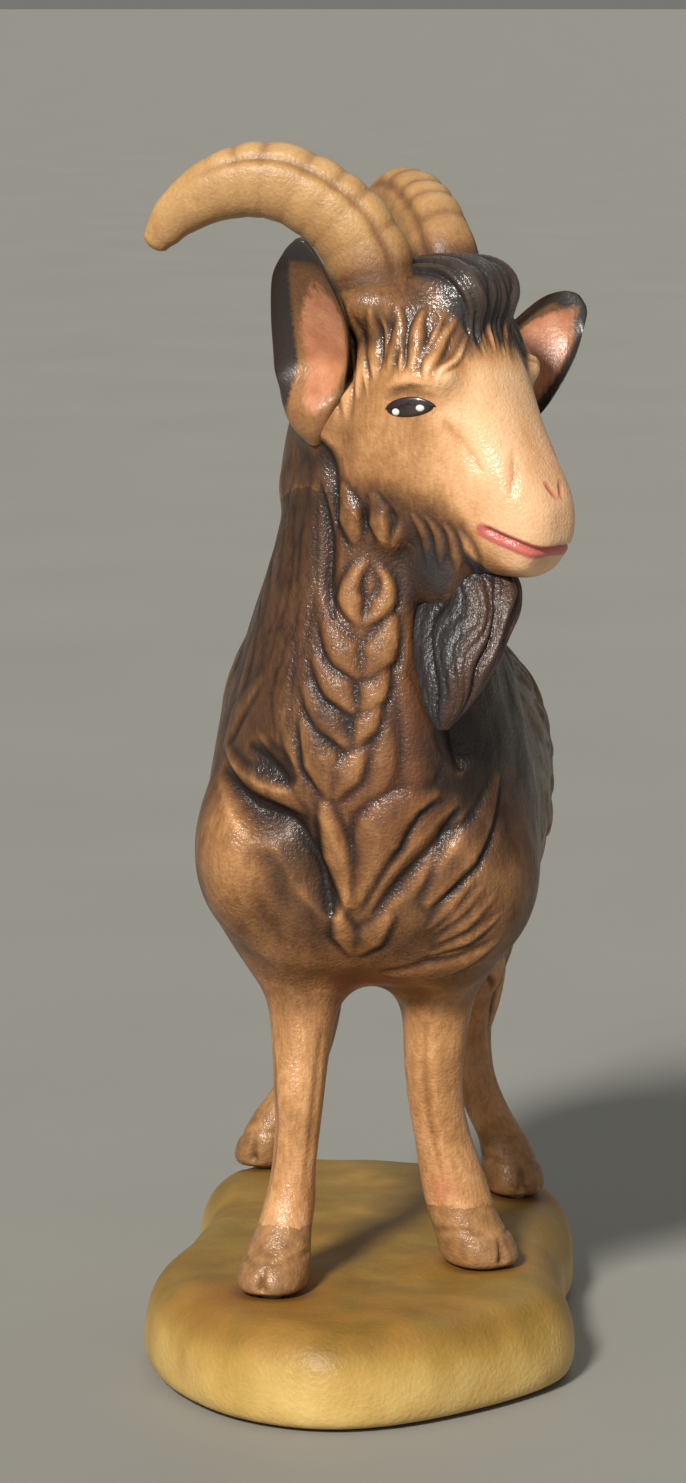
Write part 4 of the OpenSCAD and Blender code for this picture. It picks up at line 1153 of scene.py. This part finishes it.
def eye_paint(name, colour, rough):
    n = Nodes(name)
    speck = n.noise(0.25, 3)
    darker, lighter = tuple(c * 0.75 for c in colour), tuple(min(1, c * 1.2) for c in colour)
    shade = n.mix(n.spread(speck, 0.25, 0.75), darker, lighter)
    return n.finish(shade, n.spread(speck, 0.2, 0.8, rough, rough + 0.1), n.bump(speck, 0.03, 0.3), 0.6, 0.1)


def patch(name, outline_at, height, material, s, rings=7, around=40):
    """A thin painted spot that lies on the head's side: outline_at(angle) gives its (f, u) edge."""
    edge = np.array([outline_at(a) for a in np.linspace(0, 2 * math.pi, around, endpoint=False)])
    centre = edge.mean(0)
    shares = np.linspace(0.12, 1.0, rings)
    places = [centre + (e - centre) * q for q in shares for e in edge]
    hits, _ = struck([head_point(f, s * BESIDE_HEAD, u) for f, u in places], LEFT * -s, 16, 0.08)
    normals = normals_at(hits, 0.3)
    _, carving = carved(hits, normals_at(hits), np.ones(len(hits)))
    lift = np.repeat(height * np.sqrt(np.clip(1 - shares ** 2.5, 0, 1)) - 0.06, around)
    top = (hits + normals * (lift + 0.05 + carving)[:, None]).reshape(rings, around, 3)
    under = top[-1] - normals.reshape(rings, around, 3)[-1] * 0.25
    below = np.stack([under, under.mean(0) + (under - under.mean(0)) * 0.1])
    points, quads = ring_mesh(np.concatenate([top, below]))
    return show(name, points, quads[:, ::-1] if s > 0 else quads, {}, material, None)


# Where the eyes are on the head, forwards and up
EYE_F, EYE_U = 4.5, 13.5


def almond(a):
    c, d = math.cos(a), math.sin(a)
    half = 0.74 if d > 0 else 0.66
    return EYE_F + 1.80 * c, EYE_U + 0.16 * c + half * np.sign(d) * abs(d) ** 1.15


def lid(a):
    c, d = math.cos(a), math.sin(a)
    top = EYE_U + 0.16 * c + 0.74 * (1 - c * c) ** 0.6
    return EYE_F + 1.98 * c, top + 0.20 * d


def dot(f, u):
    return lambda a: (f + 0.36 * math.cos(a), u + 0.32 * math.sin(a))


dark_eye = eye_paint("eye_dark", srgb(44, 26, 20), 0.18)
lid_line = eye_paint("eye_lid", srgb(46, 30, 40), 0.3)
dot_white = eye_paint("eye_dot", srgb(244, 238, 226), 0.25)
for s, name in ((-1, "right"), (1, "left")):
    patch("eye_" + name, almond, 0.16, dark_eye, s)
    patch("eye_lid_" + name, lid, 0.14, lid_line, s)
    for k, (f, u) in enumerate(((-0.95, -0.25), (0.85, 0.1))):
        patch("eye_dot_%s_%d" % (name, k + 1), dot(EYE_F + f, EYE_U + u), 0.26, dot_white, s, 5, 20)

# ---- Floor, light and camera ----

whole_low, whole_high = np.array(cad_box[0]), np.array(cad_box[1])
middle = (whole_low + whole_high) / 2


def stage_paint(name, colour):
    n = Nodes(name)
    cloud = n.noise(60, 4)
    shade = n.mix(n.spread(cloud, 0.3, 0.7), tuple(c * 0.95 for c in colour), colour)
    return n.finish(shade, n.spread(cloud, 0.2, 0.8, 0.55, 0.65), n.bump(cloud, 0.2, 0.1), 0.0)


floor_mesh = bpy.data.meshes.new("floor")
FLOOR_R, FLOOR_Z, FLOOR_SIDES = 15, -0.0002, 64
ring = [(FLOOR_R * math.cos(a), FLOOR_R * math.sin(a), FLOOR_Z)
        for a in np.linspace(0, 2 * math.pi, FLOOR_SIDES, endpoint=False)]
floor_mesh.from_pydata(ring, [], [list(range(FLOOR_SIDES))])
floor = bpy.data.objects.new("floor", floor_mesh)
bpy.context.scene.collection.objects.link(floor)
floor_mesh.materials.append(stage_paint("floor_pale", (0.33, 0.325, 0.30)))

world = bpy.data.worlds.new("studio")
bpy.context.scene.world = world
world.use_nodes = True
sky = world.node_tree.nodes["Background"]
sky.inputs["Color"].default_value = (0.62, 0.62, 0.57, 1)
sky.inputs["Strength"].default_value = 0.30


def direction(azimuth, elevation):
    """The way to a place seen from the goat: azimuth 0 is in front, and above 0 on the goat's left. In degrees."""
    a, e = math.radians(azimuth), math.radians(elevation)
    return Vector((math.sin(a) * math.cos(e), -math.cos(a) * math.cos(e), math.sin(e)))


def sun(name, azimuth, elevation, spread, power, colour=(1, 1, 1)):
    """Soft light from far off."""
    data = bpy.data.lights.new(name, "SUN")
    data.angle = math.radians(spread)
    data.energy = power
    data.color = colour
    obj = bpy.data.objects.new(name, data)
    obj.rotation_mode = "QUATERNION"
    obj.rotation_quaternion = direction(azimuth, elevation).to_track_quat("Z", "Y")
    bpy.context.scene.collection.objects.link(obj)


sun("key", -17, 34, 9, 3.9, (1, 0.96, 0.89))
sun("fill", 30, 12, 50, 0.20, (1, 0.97, 0.92))
sun("back", 165, 50, 40, 0.25)

camera = bpy.data.cameras.new("camera")
eye = bpy.data.objects.new("camera", camera)
bpy.context.scene.collection.objects.link(eye)
bpy.context.scene.camera = eye
# A long lens from a little above, aimed at a point near the part's front end, just above half its height
target = Vector((middle[0], whole_low[1] + 1.5 * MM, middle[2] + 4.6 * MM))
back = direction(4, 8.5)
eye.location = target + back * 0.4
eye.rotation_mode = "QUATERNION"
eye.rotation_quaternion = back.to_track_quat("Z", "Y")
# The photograph is 1483 high, which is the longer side, and its focal length is about 5161 in the same unit
camera.sensor_width = 36
camera.lens = camera.sensor_width * 5161 / 1483
camera.clip_start = 0.01
camera.clip_end = 20
bpy.context.scene.view_settings.view_transform = "Standard"
